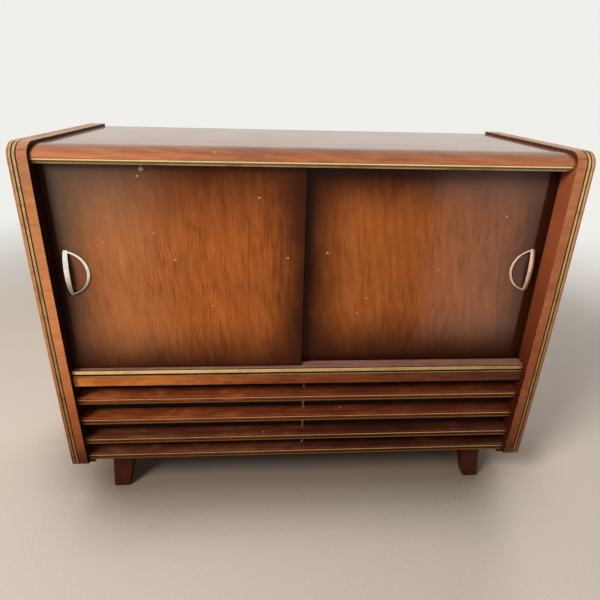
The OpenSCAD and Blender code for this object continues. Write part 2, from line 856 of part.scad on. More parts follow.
// Steel plate of the changer with the platter's bearing boss and the rest for the tonearm
module changer_plate() {
    boss_drop = 12;
    rest_dia = 7;
    color("#d8d2c2") difference() {
        union() {
            translate([bay_centre - plate_w / 2, plate_y - plate_d / 2, deck_z])
                cube([plate_w, plate_d, plate_t]);
            translate([platter_x, plate_y, deck_z - boss_drop])
                cylinder(d = bearing_dia, h = platter_z - 0.3 - deck_z + boss_drop);
            translate([arm_x, arm_rest_y, deck_z + 1])
                cylinder(d = rest_dia, h = arm_z - arm_tube_d / 2 - 0.3 - deck_z - 1);
        }
        translate([platter_x, plate_y, deck_z - boss_drop - 1]) cylinder(d = spindle_dia, h = 4 * boss_drop);
    }
}

// Fixed changer spindle, held in the boss
module spindle() {
    tip_h = 6;
    color(c_metal) translate([platter_x, plate_y, deck_z - 10]) {
        cylinder(d = spindle_dia, h = platter_top_z + spindle_h - tip_h - deck_z + 10);
        translate([0, 0, platter_top_z + spindle_h - tip_h - deck_z + 10 - eps])
            cylinder(d1 = spindle_dia, d2 = spindle_dia / 2, h = tip_h);
    }
}

// Platter with its rubber mat, turning on the boss round the spindle
module platter() {
    rim = 6;
    mat_t = 3;
    bore_r = spindle_dia / 2 + shaft_clear;
    color(c_metal) translate([platter_x, plate_y, platter_z]) rotate_extrude() polygon([
        [bore_r, 0], [platter_dia / 2 - rim, 0], [platter_dia / 2, rim],
        [platter_dia / 2, platter_t - mat_t], [platter_dia / 2 - rim, platter_t - mat_t],
        [platter_dia / 2 - rim, platter_t], [bore_r, platter_t]]);
}

// Tonearm tube with its bearing block, head shell, needle and counterweight
module tonearm() {
    weight_dia = 20;
    color(c_cream) {
        rod_y(arm_x, arm_y - arm_reach + head_l / 2, arm_y + arm_tail / 2, arm_z, arm_tube_d);
        translate([arm_x - arm_block_w / 2, arm_y - arm_block_w / 2, arm_z - arm_block_h / 2])
            cube([arm_block_w, arm_block_w, arm_block_h]);
        translate([arm_x - head_w / 2, arm_y - arm_reach - head_l / 3, arm_z - arm_tube_d / 2 - 1.5])
            cube([head_w, head_l, arm_tube_d]);
        rod_y(arm_x, arm_y + arm_tail / 2, arm_y + arm_tail, arm_z, weight_dia);
    }
    color(c_steel) translate([arm_x, arm_y - arm_reach, arm_z - needle_drop])
        cylinder(d = 2, h = needle_drop - arm_tube_d / 2, $fn = 16);
}

// Post that carries the tonearm and turns with it
module tonearm_pivot() {
    color(c_cream) translate([arm_x, arm_y, plate_z + 0.3])
        cylinder(d = bearing_dia, h = arm_z - arm_block_h / 2 - plate_z - 0.3);
}

speed_dia = 26;
speed_x = bay_centre + plate_w / 2 - 40;
speed_y = plate_y - plate_d / 2 + 30;

// Speed selector, a small knob with a pointed lever
module speed_knob() {
    color(c_cream) {
        translate([speed_x, speed_y, plate_z + 0.3]) cylinder(d = speed_dia, h = 12);
        translate([speed_x - 3, speed_y - 0.8 * speed_dia, plate_z + 4]) cube([6, 0.8 * speed_dia, 6]);
    }
}

amplifier_w = 300;
amplifier_d = 180;
amplifier_h = 36;
amplifier_back_gap = 40;

// Stereo amplifier under the changer board
module amplifier_chassis() {
    y0 = inner_back_y - amplifier_d - amplifier_back_gap;
    tray_top = shelf_z + amplifier_h;
    color(c_steel) {
        tray(bay_centre, y0, shelf_z, [amplifier_w, amplifier_d, amplifier_h]);
        translate([bay_centre - amplifier_w / 2 + bracket_w, y0 + amplifier_d / 4, tray_top - eps])
            cube([transformer_w, transformer_d, deck_rise - deck_t - amplifier_h - tray_gap]);
    }
    valves(bay_centre - valve_dia, y0 + amplifier_d / 2, tray_top,
        4, 1.7 * valve_dia, valve_dia, valve_h);
}

left_side_panel();
right_side_panel();
side_inlays();
top_board();
head_rail();
top_strip();
head_strip();
upper_door_track();
shelf_board();
sill_strip();
lower_door_track();
fascia();
fascia_strip();
upper_louvre();
middle_louvre();
lower_louvre();
bottom_board();
bottom_cleats();
louvre_strips();
louvre_posts();
legs();
leg_plates();
upper_back_panel();
lower_back_panel();
back_screws();
mains_inlet();
baffle_board();
speaker_cloth();
left_woofer();
right_woofer();
woofer_cones();
tweeters();
left_door();
left_handle();
right_door();
right_handle();
centre_divider();
radio_shelf();
record_dividers();
radio_chassis();
radio_panel();
dial_scale();
dial_cover();
tuning_pointer();
volume_knob();
tuning_knob();
tone_knob();
balance_knob();
key_off();
key_radio();
key_record();
key_stereo();
changer_board();
changer_plate();
spindle();
platter();
tonearm();
tonearm_pivot();
speed_knob();
amplifier_chassis();
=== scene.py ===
"""The looks of a wooden stereo console: veneers, metal strips, handles, speakers, radio and record changer."""

import math

import bmesh
import bpy
from mathutils import Matrix, Vector

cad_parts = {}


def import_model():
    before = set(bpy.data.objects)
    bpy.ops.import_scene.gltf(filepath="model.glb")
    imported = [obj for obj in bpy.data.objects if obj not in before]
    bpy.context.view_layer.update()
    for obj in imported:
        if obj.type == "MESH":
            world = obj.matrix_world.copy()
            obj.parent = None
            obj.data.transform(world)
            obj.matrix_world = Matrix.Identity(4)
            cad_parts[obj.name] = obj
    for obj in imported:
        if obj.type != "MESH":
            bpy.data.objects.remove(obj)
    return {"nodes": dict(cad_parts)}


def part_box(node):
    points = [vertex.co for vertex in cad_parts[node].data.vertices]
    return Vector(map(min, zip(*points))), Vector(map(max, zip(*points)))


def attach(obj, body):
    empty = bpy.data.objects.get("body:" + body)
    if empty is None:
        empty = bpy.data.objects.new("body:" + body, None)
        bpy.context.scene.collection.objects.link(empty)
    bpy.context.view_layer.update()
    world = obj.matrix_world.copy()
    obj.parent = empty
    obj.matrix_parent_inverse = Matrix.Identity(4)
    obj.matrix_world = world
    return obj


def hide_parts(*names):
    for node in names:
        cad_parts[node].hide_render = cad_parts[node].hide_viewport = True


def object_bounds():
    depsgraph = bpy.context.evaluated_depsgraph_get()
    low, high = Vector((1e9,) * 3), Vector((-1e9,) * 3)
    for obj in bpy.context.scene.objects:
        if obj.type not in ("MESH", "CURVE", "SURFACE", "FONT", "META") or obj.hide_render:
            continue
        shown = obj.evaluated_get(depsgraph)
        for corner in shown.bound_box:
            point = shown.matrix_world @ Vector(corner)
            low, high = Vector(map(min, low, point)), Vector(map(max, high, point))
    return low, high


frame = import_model()
nodes = frame["nodes"]
cad_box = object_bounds()
MM = 0.001


def rgb(red, green, blue):
    """A display colour, 0 to 255, as the linear colour that shaders take."""
    return tuple((c / 255 / 12.92) if c < 11 else ((c / 255 + 0.055) / 1.055) ** 2.4 for c in (red, green, blue))


def dim(colour, share):
    """The colour, darker or lighter."""
    return tuple(min(1, share * c) for c in colour)


# Shader kit

FINISH = {}


class Shader:
    """One procedural material, or the world's light, built node by node."""

    def __init__(self, name, kind=bpy.data.materials):
        self.name, self.made = name, kind.new(name)
        self.made.use_nodes = True
        self.tree = self.made.node_tree
        self.tree.nodes.clear()
        self.coords = self.add("TexCoord").outputs["Object"]

    def add(self, kind, inputs=None, **settings):
        node = self.tree.nodes.new("ShaderNode" + kind)
        for key, value in settings.items():
            setattr(node, key, value)
        for key, value in (inputs or {}).items():
            self.feed(node.inputs[key], value)
        return node

    def feed(self, socket, value):
        if isinstance(value, bpy.types.NodeSocket):
            self.tree.links.new(value, socket)
        elif socket.type == "RGBA" and len(value) == 3:
            socket.default_value = (*value, 1)
        else:
            socket.default_value = value

    def out(self, kind, inputs, **settings):
        """The first output of a new node."""
        return self.add(kind, inputs, **settings).outputs[0]

    def mapped(self, scale, seed=0, vector=None):
        shift = (seed, seed * 0.7, seed * 1.3)
        return self.out("Mapping", {"Vector": vector or self.coords, "Scale": scale, "Location": shift})

    def noise(self, vector, scale=1, detail=2, roughness=0.5, distortion=0):
        values = {"Vector": vector, "Scale": scale, "Detail": detail, "Roughness": roughness, "Distortion": distortion}
        return self.out("TexNoise", values)

    def warped(self, amount, scale):
        """The coordinates, pushed about by a broad noise."""
        colour = self.add("TexNoise", {"Vector": self.coords, "Scale": scale, "Detail": 2}).outputs[1]
        return self.vector("MULTIPLY_ADD", self.vector("ADD", colour, [-0.5] * 3), [amount] * 3, self.coords)

    def vector(self, operation, *values):
        kind = "Value" if operation in ("LENGTH", "DISTANCE", "DOT_PRODUCT") else "Vector"
        return self.add("VectorMath", dict(enumerate(values)), operation=operation).outputs[kind]

    def math(self, operation, a, b=0):
        return self.out("Math", {0: a, 1: b}, operation=operation)

    def times(self, product, *others):
        for other in others:
            product = self.math("MULTIPLY", product, other)
        return product

    def plus(self, start, part, share):
        """start + part * share"""
        return self.out("Math", {0: part, 1: share, 2: start}, operation="MULTIPLY_ADD")

    def feather(self, across, low, high, reach):
        """Stripes that rise and spread from a middle line, as where a trunk forks. 0 away from it."""
        vector = self.warped(0.07, 9)
        off = self.off("X", across, vector)
        upwards, outwards, waver = 170, 560, 11
        spread = self.times(self.math("POWER", off, 0.8), outwards)
        phase = self.math("SUBTRACT", self.times(self.axis("Z", vector), upwards), spread)
        stripes = self.math("SINE", self.plus(phase, self.noise(self.coords, 20, 3), waver))
        near = self.span(off, reach, 0.2 * reach)
        height = self.times(self.span(self.axis("Z"), low, low + 0.08), self.span(self.axis("Z"), high, high - 0.1))
        patchy = self.span(self.noise(self.coords, 18, 3), 0.35, 0.65, 0.01, 0.13)
        return self.times(stripes, patchy, self.times(near, height))

    def lit(self, colour, ramps):
        """The colour times ramps of (axis, low, high, stops), for faces that stand in more or less light."""
        for letter, low, high, stops in ramps:
            place = self.out("MapRange", {"Value": self.axis(letter), "From Min": low, "From Max": high})
            colour = self.mix(1, colour, self.ramp(place, stops), "MULTIPLY")
        return colour

    def chips(self, places):
        """1 in small ragged chips at (x, z, radius)."""
        flat = self.vector("MULTIPLY", self.warped(0.006, 130), (1, 0, 1))
        mask = 0
        for x, z, radius in places:
            off = self.vector("DISTANCE", flat, (x, 0, z))
            mask = self.math("MAXIMUM", mask, self.span(off, radius, 0.6 * radius))
        return mask

    def axis(self, name, vector=None):
        return self.add("SeparateXYZ", {0: vector or self.coords}).outputs["XYZ".index(name)]

    def off(self, name, place, vector=None):
        """The distance from the place along the named axis."""
        return self.math("ABSOLUTE", self.math("SUBTRACT", self.axis(name, vector), place))

    def facing(self, name):
        return self.axis(name, self.add("NewGeometry").outputs["Normal"])

    def span(self, value, low, high, to_low=0, to_high=1):
        """The value's place between low and high, with soft ends."""
        ends = {"Value": value, "From Min": low, "From Max": high, "To Min": to_low, "To Max": to_high}
        return self.out("MapRange", ends, interpolation_type="SMOOTHSTEP")

    def mix(self, factor, a, b, blend="MIX"):
        node = self.add("Mix", data_type="RGBA", blend_type=blend)
        self.feed(node.inputs[0], factor)
        self.feed(node.inputs[6], a)
        self.feed(node.inputs[7], b)
        return node.outputs[2]

    def ramp(self, factor, stops):
        node = self.add("ValToRGB", {0: factor})
        band = node.color_ramp.elements
        band[0].position, band[1].position = stops[0][0], stops[-1][0]
        band[0].color, band[1].color = (*stops[0][1], 1), (*stops[-1][1], 1)
        for place, colour in stops[1:-1]:
            band.new(place).color = (*colour, 1)
        return node.outputs[0]

    def bump(self, height, distance, strength=1, normal=None):
        node = self.add("Bump", {"Height": height, "Distance": distance, "Strength": strength})
        if normal:
            self.feed(node.inputs["Normal"], normal)
        return node.outputs[0]

    def edges(self, radius):
        """About 1 on an outer edge and 0 on a flat face, from the rounded normal."""
        bevel = self.out("Bevel", {"Radius": radius}, samples=4)
        return self.span(self.vector("DOT_PRODUCT", bevel, self.add("NewGeometry").outputs["Normal"]), 0.99, 0.8)

    def hollow_shade_and_dirt(self, colour, reach, share, dark):
        """The colour with this share of the dark one deep in grooves and corners, as painted shade and dirt."""
        open_share = self.add("AmbientOcclusion", {"Distance": reach}, samples=6, only_local=False).outputs["AO"]
        return self.mix(self.times(self.span(open_share, 0.75, 0.3), share), colour, dark)

    def seen(self):
        """1 where the camera sees it, also in a reflection or through glass."""
        path = self.add("LightPath").outputs
        return self.math("MAXIMUM", path["Is Camera Ray"],
                         self.math("MAXIMUM", path["Is Glossy Ray"], path["Is Transmission Ray"]))

    def blend(self, factor, first, second, output):
        mixer = self.add("MixShader", {0: factor, 1: first.outputs[0], 2: second.outputs[0]})
        self.tree.links.new(mixer.outputs[0], self.add(output).inputs[0])
        return self.made

    def surface(self, **inputs):
        """The shader itself, kept as the finish. The sockets' names have _ for a space."""
        shader = self.add("BsdfPrincipled")
        for key, value in inputs.items():
            self.feed(shader.inputs[key.replace("_", " ")], value)
        self.tree.links.new(shader.outputs[0], self.add("OutputMaterial").inputs[0])
        FINISH[self.name] = self.made


def wood(name, deep, mid, light, grain, seed, figure=0.5, streaks=0.5, rings=0.1, feather=None, burst_and_shade=None, wear=0.3,
         worn=None, coat=0.16, coat_rough=0.06, specks=0.7, insides=None, seams=(), hazy=(), shade_and_dirt_share=0.75, reach=8 * MM,
         lit=(), veins=0, chips=()):
    """Lacquered veneer with its grain along the named axes.

    The sunburst edge is (low, high, soft): the X and Z bounds of a sprayed dark edge, with painted shade and dark
    reflections from the side panels, the other door and the top, and how far it fades from each of them.
    hazy lists pale reflections as (start, full, end) in X, (foot, rise) in Z and the light that they add.
    insides is (width, left, right, ramps) for the faces that look inwards, painted shade that is near black on the left
    panel and darker lower down, and with it upward faces get a painted pale sheen; seams are heights on the front.
    Where there are seams, lit counts for the front alone."""
    s = Shader(name)

    def along(cross, run, seed_step=0, warp=0.02):
        scale = [run if letter in grain else cross for letter in "XYZ"]
        return s.mapped(scale, seed + seed_step, s.warped(warp, 3))

    patches = s.noise(along(4.5, 1.3), detail=3, distortion=0.5)
    mottle = s.noise(along(34, 14, 3.1), detail=3, roughness=0.6, distortion=0.9)
    stripe = s.noise(along(110, 3.4, 1.9), roughness=0.55)
    fine = s.noise(along(360, 16, 5.7), detail=4, roughness=0.65)
    hair = s.noise(along(1000, 30, 8.3, 0.01), roughness=0.6)
    arches = s.add("TexWave", {"Vector": along(1, 0.14, 0.4, 0.06), "Scale": 22, "Distortion": 5, "Detail": 3,
                               "Detail Scale": 1.4, "Detail Roughness": 0.6}, wave_type="RINGS",
                   rings_direction="Z" if "Y" in grain else "Y", wave_profile="SIN").outputs[1]
    value = 0.5
    for part, share in ((patches, figure * 0.9), (mottle, figure * 0.6), (arches, rings * 0.4), (stripe, streaks * 0.3),
                        (fine, streaks * 0.5), (hair, streaks * 0.4)):
        value = s.plus(value, s.math("SUBTRACT", part, 0.5), share)
    if feather:
        value = s.plus(value, s.feather(*feather), figure)
    if veins:
        lines = s.math("SINE", s.times(s.noise(along(15, 2.6, 4.4, 0.05), detail=3), 62))
        shown = s.span(s.noise(along(9, 4, 7.7)), 0.42, 0.6)
        value = s.plus(value, s.times(s.span(lines, 0.2, 1), shown), -veins)
        thin = s.noise(along(420, 7, 9.2), detail=3, roughness=0.6)
        value = s.plus(value, s.span(thin, 0.34, 0.66, -1, 1), 0.5 * veins)
    colour = s.ramp(value, [(0.14, deep), (0.5, mid), (0.84, light)])
    redder = s.span(s.noise(along(150, 11, 6.6), detail=3), 0.4, 0.65, 0, 0.5)
    colour = s.mix(redder, colour, (1.12, 0.86, 0.92), "MULTIPLY")
    if seams:
        front = s.span(s.facing("Y"), -0.3, -0.6)
        colour = s.mix(front, colour, s.lit(colour, lit))
    else:
        colour = s.lit(colour, lit)
    pores = s.span(s.noise(along(1600, 45, 11.9, 0), detail=1), 0.62, 0.75)
    colour = s.mix(s.times(pores, 0.3 * streaks), colour, dim(deep, 0.25))
    # Dark door edges: a sprayed sunburst, with painted shade and dark reflections from the side panels, the other door
    # and the top.
    if burst_and_shade:
        low, high, soft = burst_and_shade
        uneven = s.noise(along(12, 7, 2.2), detail=5, roughness=0.65)
        ragged = s.times(s.math("SUBTRACT", uneven, 0.5), 0.06)
        inside = 1
        for letter, *ends in zip("XZ", low, high):
            place = s.math("ADD", s.axis(letter), ragged)
            for edge, fade in zip(ends, soft[letter]):
                inside = s.times(inside, s.span(place, edge, edge + fade))
        colour = s.mix(s.math("SUBTRACT", 1, inside), colour, s.mix(fine, STAIN_AND_SHADE, dim(STAIN_AND_SHADE, 1.6)))
    for low, high, end, foot, rise, bloom in hazy:
        soft = math.copysign(2 * MM, high - low)
        share = s.times(s.span(s.axis("X"), low, high), s.span(s.axis("X"), end + soft, end - soft),
                        s.span(s.axis("Z"), foot, foot + rise), s.span(patches, 0.2, 0.6, 0.6, 1))
        colour = s.mix(share, colour, bloom, "ADD")
    if insides:
        # Inward faces: painted shade, near black on the left panel, and ramps that darken them lower down.
        width, left_tone, right_tone, shading = insides
        inner = s.math("LESS_THAN", s.math("ABSOLUTE", s.axis("X")), width)
        tone = s.lit(s.mix(s.math("GREATER_THAN", s.axis("X"), 0), left_tone, right_tone), shading)
        colour = s.mix(s.times(inner, 0.96), colour, s.mix(fine, tone, (0.6, 0.5, 0.5), "MULTIPLY"))
        # Painted pale sheen on the upward faces.
        colour = s.mix(s.span(s.facing("Z"), 0.6, 0.95, 0, 0.55), colour, rgb(172, 132, 114))
    for height in seams:
        line = s.span(s.off("Z", height), 1.1 * MM, 0.4 * MM, 0, 0.6)
        colour = s.mix(s.times(line, front), colour, rgb(80, 38, 30))
    if specks:
        cells = s.add("TexVoronoi", {"Vector": s.warped(0.004, 200), "Scale": 21})
        near = s.span(cells.outputs["Distance"], 0.046, 0.024)
        chosen = s.span(s.axis("X", cells.outputs["Color"]), 0.76, 0.78)
        colour = s.mix(s.times(near, chosen, specks), colour, rgb(226, 196, 168))
    if chips:
        colour = s.mix(s.chips(chips), colour, s.mix(fine, rgb(190, 168, 150), rgb(120, 96, 80)))
    # Painted shade and dirt in grooves and corners.
    colour = s.hollow_shade_and_dirt(colour, reach, shade_and_dirt_share, rgb(16, 5, 2))
    if wear:
        ragged = s.span(s.noise(s.coords, 60, 4, 0.7), 0.42, 0.62)
        colour = s.mix(s.times(s.edges(1.6 * MM), ragged, wear), colour, worn or dim(light, 1.9))
    ripple = s.noise(s.mapped((1, 1, 1), seed), 34, 2)
    base_normal = s.bump(s.math("ADD", fine, s.times(pores, -0.6)), 0.12 * MM, 0.5)
    coat_normal = s.bump(ripple, 0.3 * MM, 0.25)
    smear = s.noise(s.mapped((1, 1, 1), seed + 2), 7, 4, 0.6)
    s.surface(Base_Color=colour, Roughness=s.span(smear, 0.3, 0.7, 0.38, 0.55), Specular_IOR_Level=0.05,
              Normal=base_normal, Coat_Weight=coat, Coat_Roughness=coat_rough, Coat_IOR=1.42, Coat_Normal=coat_normal)


def metal(name, colour, tarnish, rough, brushed=None, amount=0.35, scale=22, dark_bands=(), lit=()):
    """Old plated or solid metal with cloudy tarnish and fine scratches along one axis.

    The listed dark bands (height, inner, outer) take the full tarnish colour up to the inner reach: painted shade on
    the louvres' lower strips, and a darker lower end on the left handle."""
    s = Shader(name)
    cloud = s.noise(s.coords, scale, 5, 0.62, 0.4)
    spots = s.span(s.noise(s.coords, scale * 9, 3, 0.7), 0.6, 0.72)
    tarnish_and_shade = s.times(s.math("MAXIMUM", s.span(cloud, 0.45, 0.72), spots), amount)
    # Bands in the full tarnish colour: painted shade on the louvres' lower strips, and a darker lower end on the left
    # handle.
    for height, inner, outer in dark_bands:
        tarnish_and_shade = s.math("MAXIMUM", tarnish_and_shade, s.span(s.off("Z", height), outer, inner))
    # Painted shade and dark tarnish in the hollows.
    base = s.hollow_shade_and_dirt(s.lit(s.mix(tarnish_and_shade, colour, tarnish), lit), 3 * MM, 0.7, dim(tarnish, 0.12))
    stretch = [420, 420, 420]
    if brushed:
        stretch["XYZ".index(brushed)] = 9
    lines = s.noise(s.mapped(stretch), 1, 3, 0.6)
    dent = s.noise(s.coords, 75, 2)
    s.surface(Base_Color=base, Metallic=1, Roughness=s.span(cloud, 0.3, 0.75, rough, rough + 0.2),
              Normal=s.bump(lines, 0.03 * MM, 0.35, s.bump(dent, 0.12 * MM, 0.5)))


def plastic(name, colour, rough=0.22, yellowed=0.25, coat=0.3):
    """Moulded plastic with a slight mottle, and painted shade and dirt in its corners."""
    s = Shader(name)
    cloud = s.noise(s.coords, 14, 4, 0.6)
    aged = s.mix(s.times(cloud, yellowed), colour, tuple(c * f for c, f in zip(colour, (0.85, 0.68, 0.42))))
    base = s.hollow_shade_and_dirt(aged, 3 * MM, 0.6, dim(colour, 0.15))
    s.surface(Base_Color=base, Roughness=s.span(cloud, 0.3, 0.7, rough, rough + 0.12), Coat_Weight=coat,
              Coat_Roughness=0.1, Normal=s.bump(s.noise(s.coords, 260, 2), 0.02 * MM, 0.4))


def enamel(name, colour):
    """Sprayed enamel with a light orange-peel and chipped edges."""
    s = Shader(name)
    peel = s.noise(s.coords, 320, 2)
    chipped = s.times(s.edges(0.8 * MM), s.span(s.noise(s.coords, 130, 3), 0.5, 0.6))
    dusty = s.mix(s.span(s.noise(s.coords, 9, 4), 0.4, 0.8, 0, 0.3), colour, dim(colour, 0.6))
    base = s.mix(s.times(chipped, 0.7), dusty, rgb(90, 86, 80))
    # Painted shade and dirt in the hollows.
    base = s.hollow_shade_and_dirt(base, 5 * MM, 0.5, dim(colour, 0.2))
    s.surface(Base_Color=base, Roughness=s.span(peel, 0.3, 0.7, 0.3, 0.45), Normal=s.bump(peel, 0.05 * MM, 0.4))


def board_stock(name, colour, dark, layered=None):
    """Raw board: pressed fibres, or plies seen at the edge."""
    s = Shader(name)
    fibres = s.noise(s.warped(0.01, 40), 180, 6, 0.75)
    blotch = s.noise(s.coords, 5, 4, 0.6)
    value = s.math("ADD", s.times(fibres, 0.6), s.times(blotch, 0.4))
    base = s.ramp(value, [(0.3, dark), (0.55, colour), (0.8, dim(colour, 1.25))])
    if layered:
        ply = s.add("TexWave", {"Vector": s.coords, "Scale": 130, "Distortion": 0.6}, wave_type="BANDS",
                    bands_direction=layered).outputs[1]
        base = s.mix(s.times(ply, 0.25), base, dark)
    # Painted shade and dirt in the hollows.
    base = s.hollow_shade_and_dirt(base, 12 * MM, 0.6, dim(dark, 0.2))
    s.surface(Base_Color=base, Roughness=s.span(fibres, 0.3, 0.7, 0.62, 0.85), Normal=s.bump(fibres, 0.25 * MM, 0.6))


def woven(name, thread, gap, pitch):
    """Plain weave seen in the X and Z directions, with uneven threads."""
    s = Shader(name)
    vector = s.warped(0.0012, 60)
    warp, weft = (s.math("SINE", s.times(s.axis(letter, vector), math.pi / pitch)) for letter in "XZ")
    height = s.span(s.times(warp, weft), -1, 1)
    slub = s.noise(s.mapped((30, 30, 400)), 1, 3)
    base = s.mix(s.times(height, s.span(slub, 0.3, 0.7, 0.6, 1)), gap, thread)
    s.surface(Base_Color=base, Roughness=0.85, Specular_IOR_Level=0.2, Normal=s.bump(height, 0.4 * MM, 0.9))


def glass(name, tint):
    """Clear cover with faint smears."""
    s = Shader(name)
    smear = s.noise(s.coords, 18, 4, 0.6)
    s.surface(Base_Color=tint, Transmission_Weight=1, IOR=1.45, Roughness=s.span(smear, 0.4, 0.8, 0.02, 0.1),
              Normal=s.bump(smear, 0.05 * MM, 0.1))


def rubber(name, colour):
    """Matt rubber or paper with dust on it."""
    s = Shader(name)
    dust = s.noise(s.coords, 55, 5, 0.7)
    base = s.mix(s.span(dust, 0.45, 0.75, 0, 0.35), colour, rgb(92, 84, 78))
    s.surface(Base_Color=base, Roughness=s.span(dust, 0.3, 0.7, 0.55, 0.8), Normal=s.bump(dust, 0.08 * MM, 0.5))


# Places in the CAD model


def seat(low, high, *shares):
    """The point of a box at these shares of its width, depth and height."""
    return Vector([a * (1 - share) + b * share for a, b, share in zip(low, high, shares)])


def extent(low, high):
    """A box's width, depth and height in millimetres."""
    return [(b - a) / MM for a, b in zip(low, high)]


def shells(name):
    """The boxes of a CAD node's separate solids, in metres."""
    work = bmesh.new()
    work.from_mesh(nodes[name].data)
    bmesh.ops.remove_doubles(work, verts=work.verts, dist=0.01 * MM)
    left, boxes = set(work.verts), []
    while left:
        todo, found = [left.pop()], []
        while todo:
            vert = todo.pop()
            found.append(vert.co.copy())
            near = {edge.other_vert(vert) for edge in vert.link_edges} & left
            left -= near
            todo += near
        boxes.append([Vector(end(p[k] for p in found) for k in range(3)) for end in (min, max)])
    work.free()
    return sorted(boxes, key=lambda box: tuple(box[0]))


# Materials

door_low, door_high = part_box("left_door")
rear_low, rear_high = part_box("right_door")
inner_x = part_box("top_board")[1].x
strip_z = sorted({round(low.z, 4) for low, high in shells("louvre_strips")})[::2]
top_z = cad_box[1].z
PLAIN = (1, 1, 1)
# Colour of the doors' dark edges: sprayed sunburst and painted shade.
STAIN_AND_SHADE = rgb(44, 17, 6)
TAN = rgb(206, 140, 84)
LEFT_CHIPS = ((-0.339, 0.853, 0.0055), (-0.347, 0.838, 0.0022), (-0.106, 0.797, 0.003), (-0.325, 0.72, 0.0026),
              (-0.285, 0.66, 0.0026), (-0.045, 0.665, 0.003), (-0.43, 0.7, 0.0026), (-0.21, 0.55, 0.0022))
RIGHT_CHIPS = ((0.436, 0.757, 0.0032), (0.043, 0.67, 0.003), (0.12, 0.52, 0.0024), (0.3, 0.63, 0.0022))
INSIDE_LIGHT = ("Z", 0.3, 0.9, (
    (0, (0.12, 0.05, 0.04)), (0.09, (0.16, 0.09, 0.08)), (0.2, (0.34, 0.24, 0.2)), (0.34, (0.54, 0.45, 0.4)),
    (0.45, (0.62, 0.56, 0.5)), (0.7, PLAIN), (0.95, PLAIN), (0.98, (0.3, 0.28, 0.34))))
SIDE = {"deep": rgb(128, 72, 44), "mid": rgb(172, 106, 68), "light": rgb(206, 144, 100), "grain": "XY", "seed": 1,
        "figure": 0.55, "streaks": 0.7, "rings": 0, "wear": 0.5, "coat_rough": 0.12,
        "seams": (0.889, 0.744, 0.6, 0.44, 0.28),
        # Inward faces: painted shade, near black on the left panel.
        "insides": (inner_x + 0.4 * MM, rgb(22, 6, 3), rgb(156, 86, 56), [INSIDE_LIGHT])}
DOOR = {"grain": "Z", "coat": 0.1, "coat_rough": 0.04, "veins": 0.09}

wood("left_side", **SIDE, lit=[("Z", 0.15, 0.9, (
    (0, (0.2, 0.12, 0.1)), (0.03, (0.42, 0.3, 0.22)), (0.16, (0.68, 0.52, 0.36)), (0.36, (1.04, 1.06, 0.86)),
    (0.57, (1.04, 1.16, 1)), (0.81, (1.06, 1.38, 1.26)), (0.95, (0.8, 1, 1.2))))])
wood("right_side", **SIDE, lit=[("Z", 0.15, 0.9, (
    (0, (0.2, 0.14, 0.12)), (0.03, (0.36, 0.26, 0.24)), (0.3, (0.56, 0.48, 0.42)), (0.55, (0.86, 0.86, 0.84)),
    (0.8, (0.94, 1, 1))))])
wood("top_veneer", rgb(120, 66, 40), rgb(170, 102, 62), rgb(200, 132, 88), "X", 2, 0.6, 0.9, 0.3, wear=0.35,
     coat=0.85, coat_rough=0.09, lit=[("Z", top_z - 0.03, top_z - 0.005, ((0, PLAIN), (1, (0.48, 0.6, 0.66))))])
wood("left_veneer", rgb(92, 42, 14), rgb(158, 88, 38), rgb(188, 118, 58), seed=3, streaks=0.45, rings=0.12,
     # This long reach spreads the painted shade of hollows far over the door from the parts round it.
     reach=0.235, feather=(-0.27, 0.42, 0.82, 0.16), chips=LEFT_CHIPS, **DOOR,
     hazy=((-0.2, -0.42, -0.523, door_low.z, 0.08, rgb(34, 36, 32)),
           (-0.24, -0.44, -0.523, 0.6, 0.2, rgb(44, 44, 38))),
     lit=(("X", -0.526, -0.519, ((0, (0.3, 0.25, 0.22)), (1, PLAIN))),
          ("X", -0.5, -0.2, ((0, (0.74, 0.78, 0.82)), (1, PLAIN))),
          ("Z", 0.826, 0.832, ((0, PLAIN), (1, (0.86, 0.86, 0.9))))),
     burst_and_shade=((door_low.x - 0.004, door_low.z - 0.016), (door_high.x + 0.009, door_high.z + 0.042),
            {"X": (0.12, -0.11), "Z": (0.15, -0.235)}))
wood("right_veneer", rgb(78, 34, 12), rgb(146, 81, 34), rgb(174, 107, 54), seed=6, streaks=0.4, rings=0.16,
     # This long reach spreads the painted shade of hollows far over the door from the parts round it.
     reach=0.13, feather=(0.235, 0.42, 0.78, 0.13), chips=RIGHT_CHIPS, **DOOR,
     hazy=((0.25, 0.3, 0.513, rear_low.z + 0.02, 0.09, rgb(48, 44, 43)),
           (0.28, 0.44, 0.513, rear_low.z + 0.02, 0.09, rgb(44, 40, 37)),
           (0.16, 0.4, 0.513, 0.74, 0.09, rgb(66, 48, 37))),
     lit=(("X", 0.2, 0.5, ((0, PLAIN), (0.8, (0.66, 0.66, 0.72)))),
          ("X", 0.511, 0.515, ((0, PLAIN), (1, (0.4, 0.3, 0.26))))),
     burst_and_shade=((door_high.x - 0.005, rear_low.z), (rear_high.x, rear_high.z - 0.006),
            {"X": (0.13, -0.11), "Z": (0.165, -0.13)}))
wood("louvre_wood", rgb(52, 21, 10), rgb(104, 51, 29), rgb(168, 96, 54), "X", 4, 0.9, 0.6, wear=0.7, worn=TAN,
     coat_rough=0.25, lit=(
         ("X", -0.5, 0.5, ((0, (1.4, 1.45, 1.2)), (0.3, (1.2, 1.15, 1)), (0.55, (0.95, 0.92, 0.86)),
                           (1, (0.76, 0.74, 0.74)))),
         ("Z", 0.18, 0.38, ((0, (0.36, 0.46, 0.7)), (0.35, (0.78, 0.78, 0.86)), (1, (0.9, 0.96, 0.96))))))
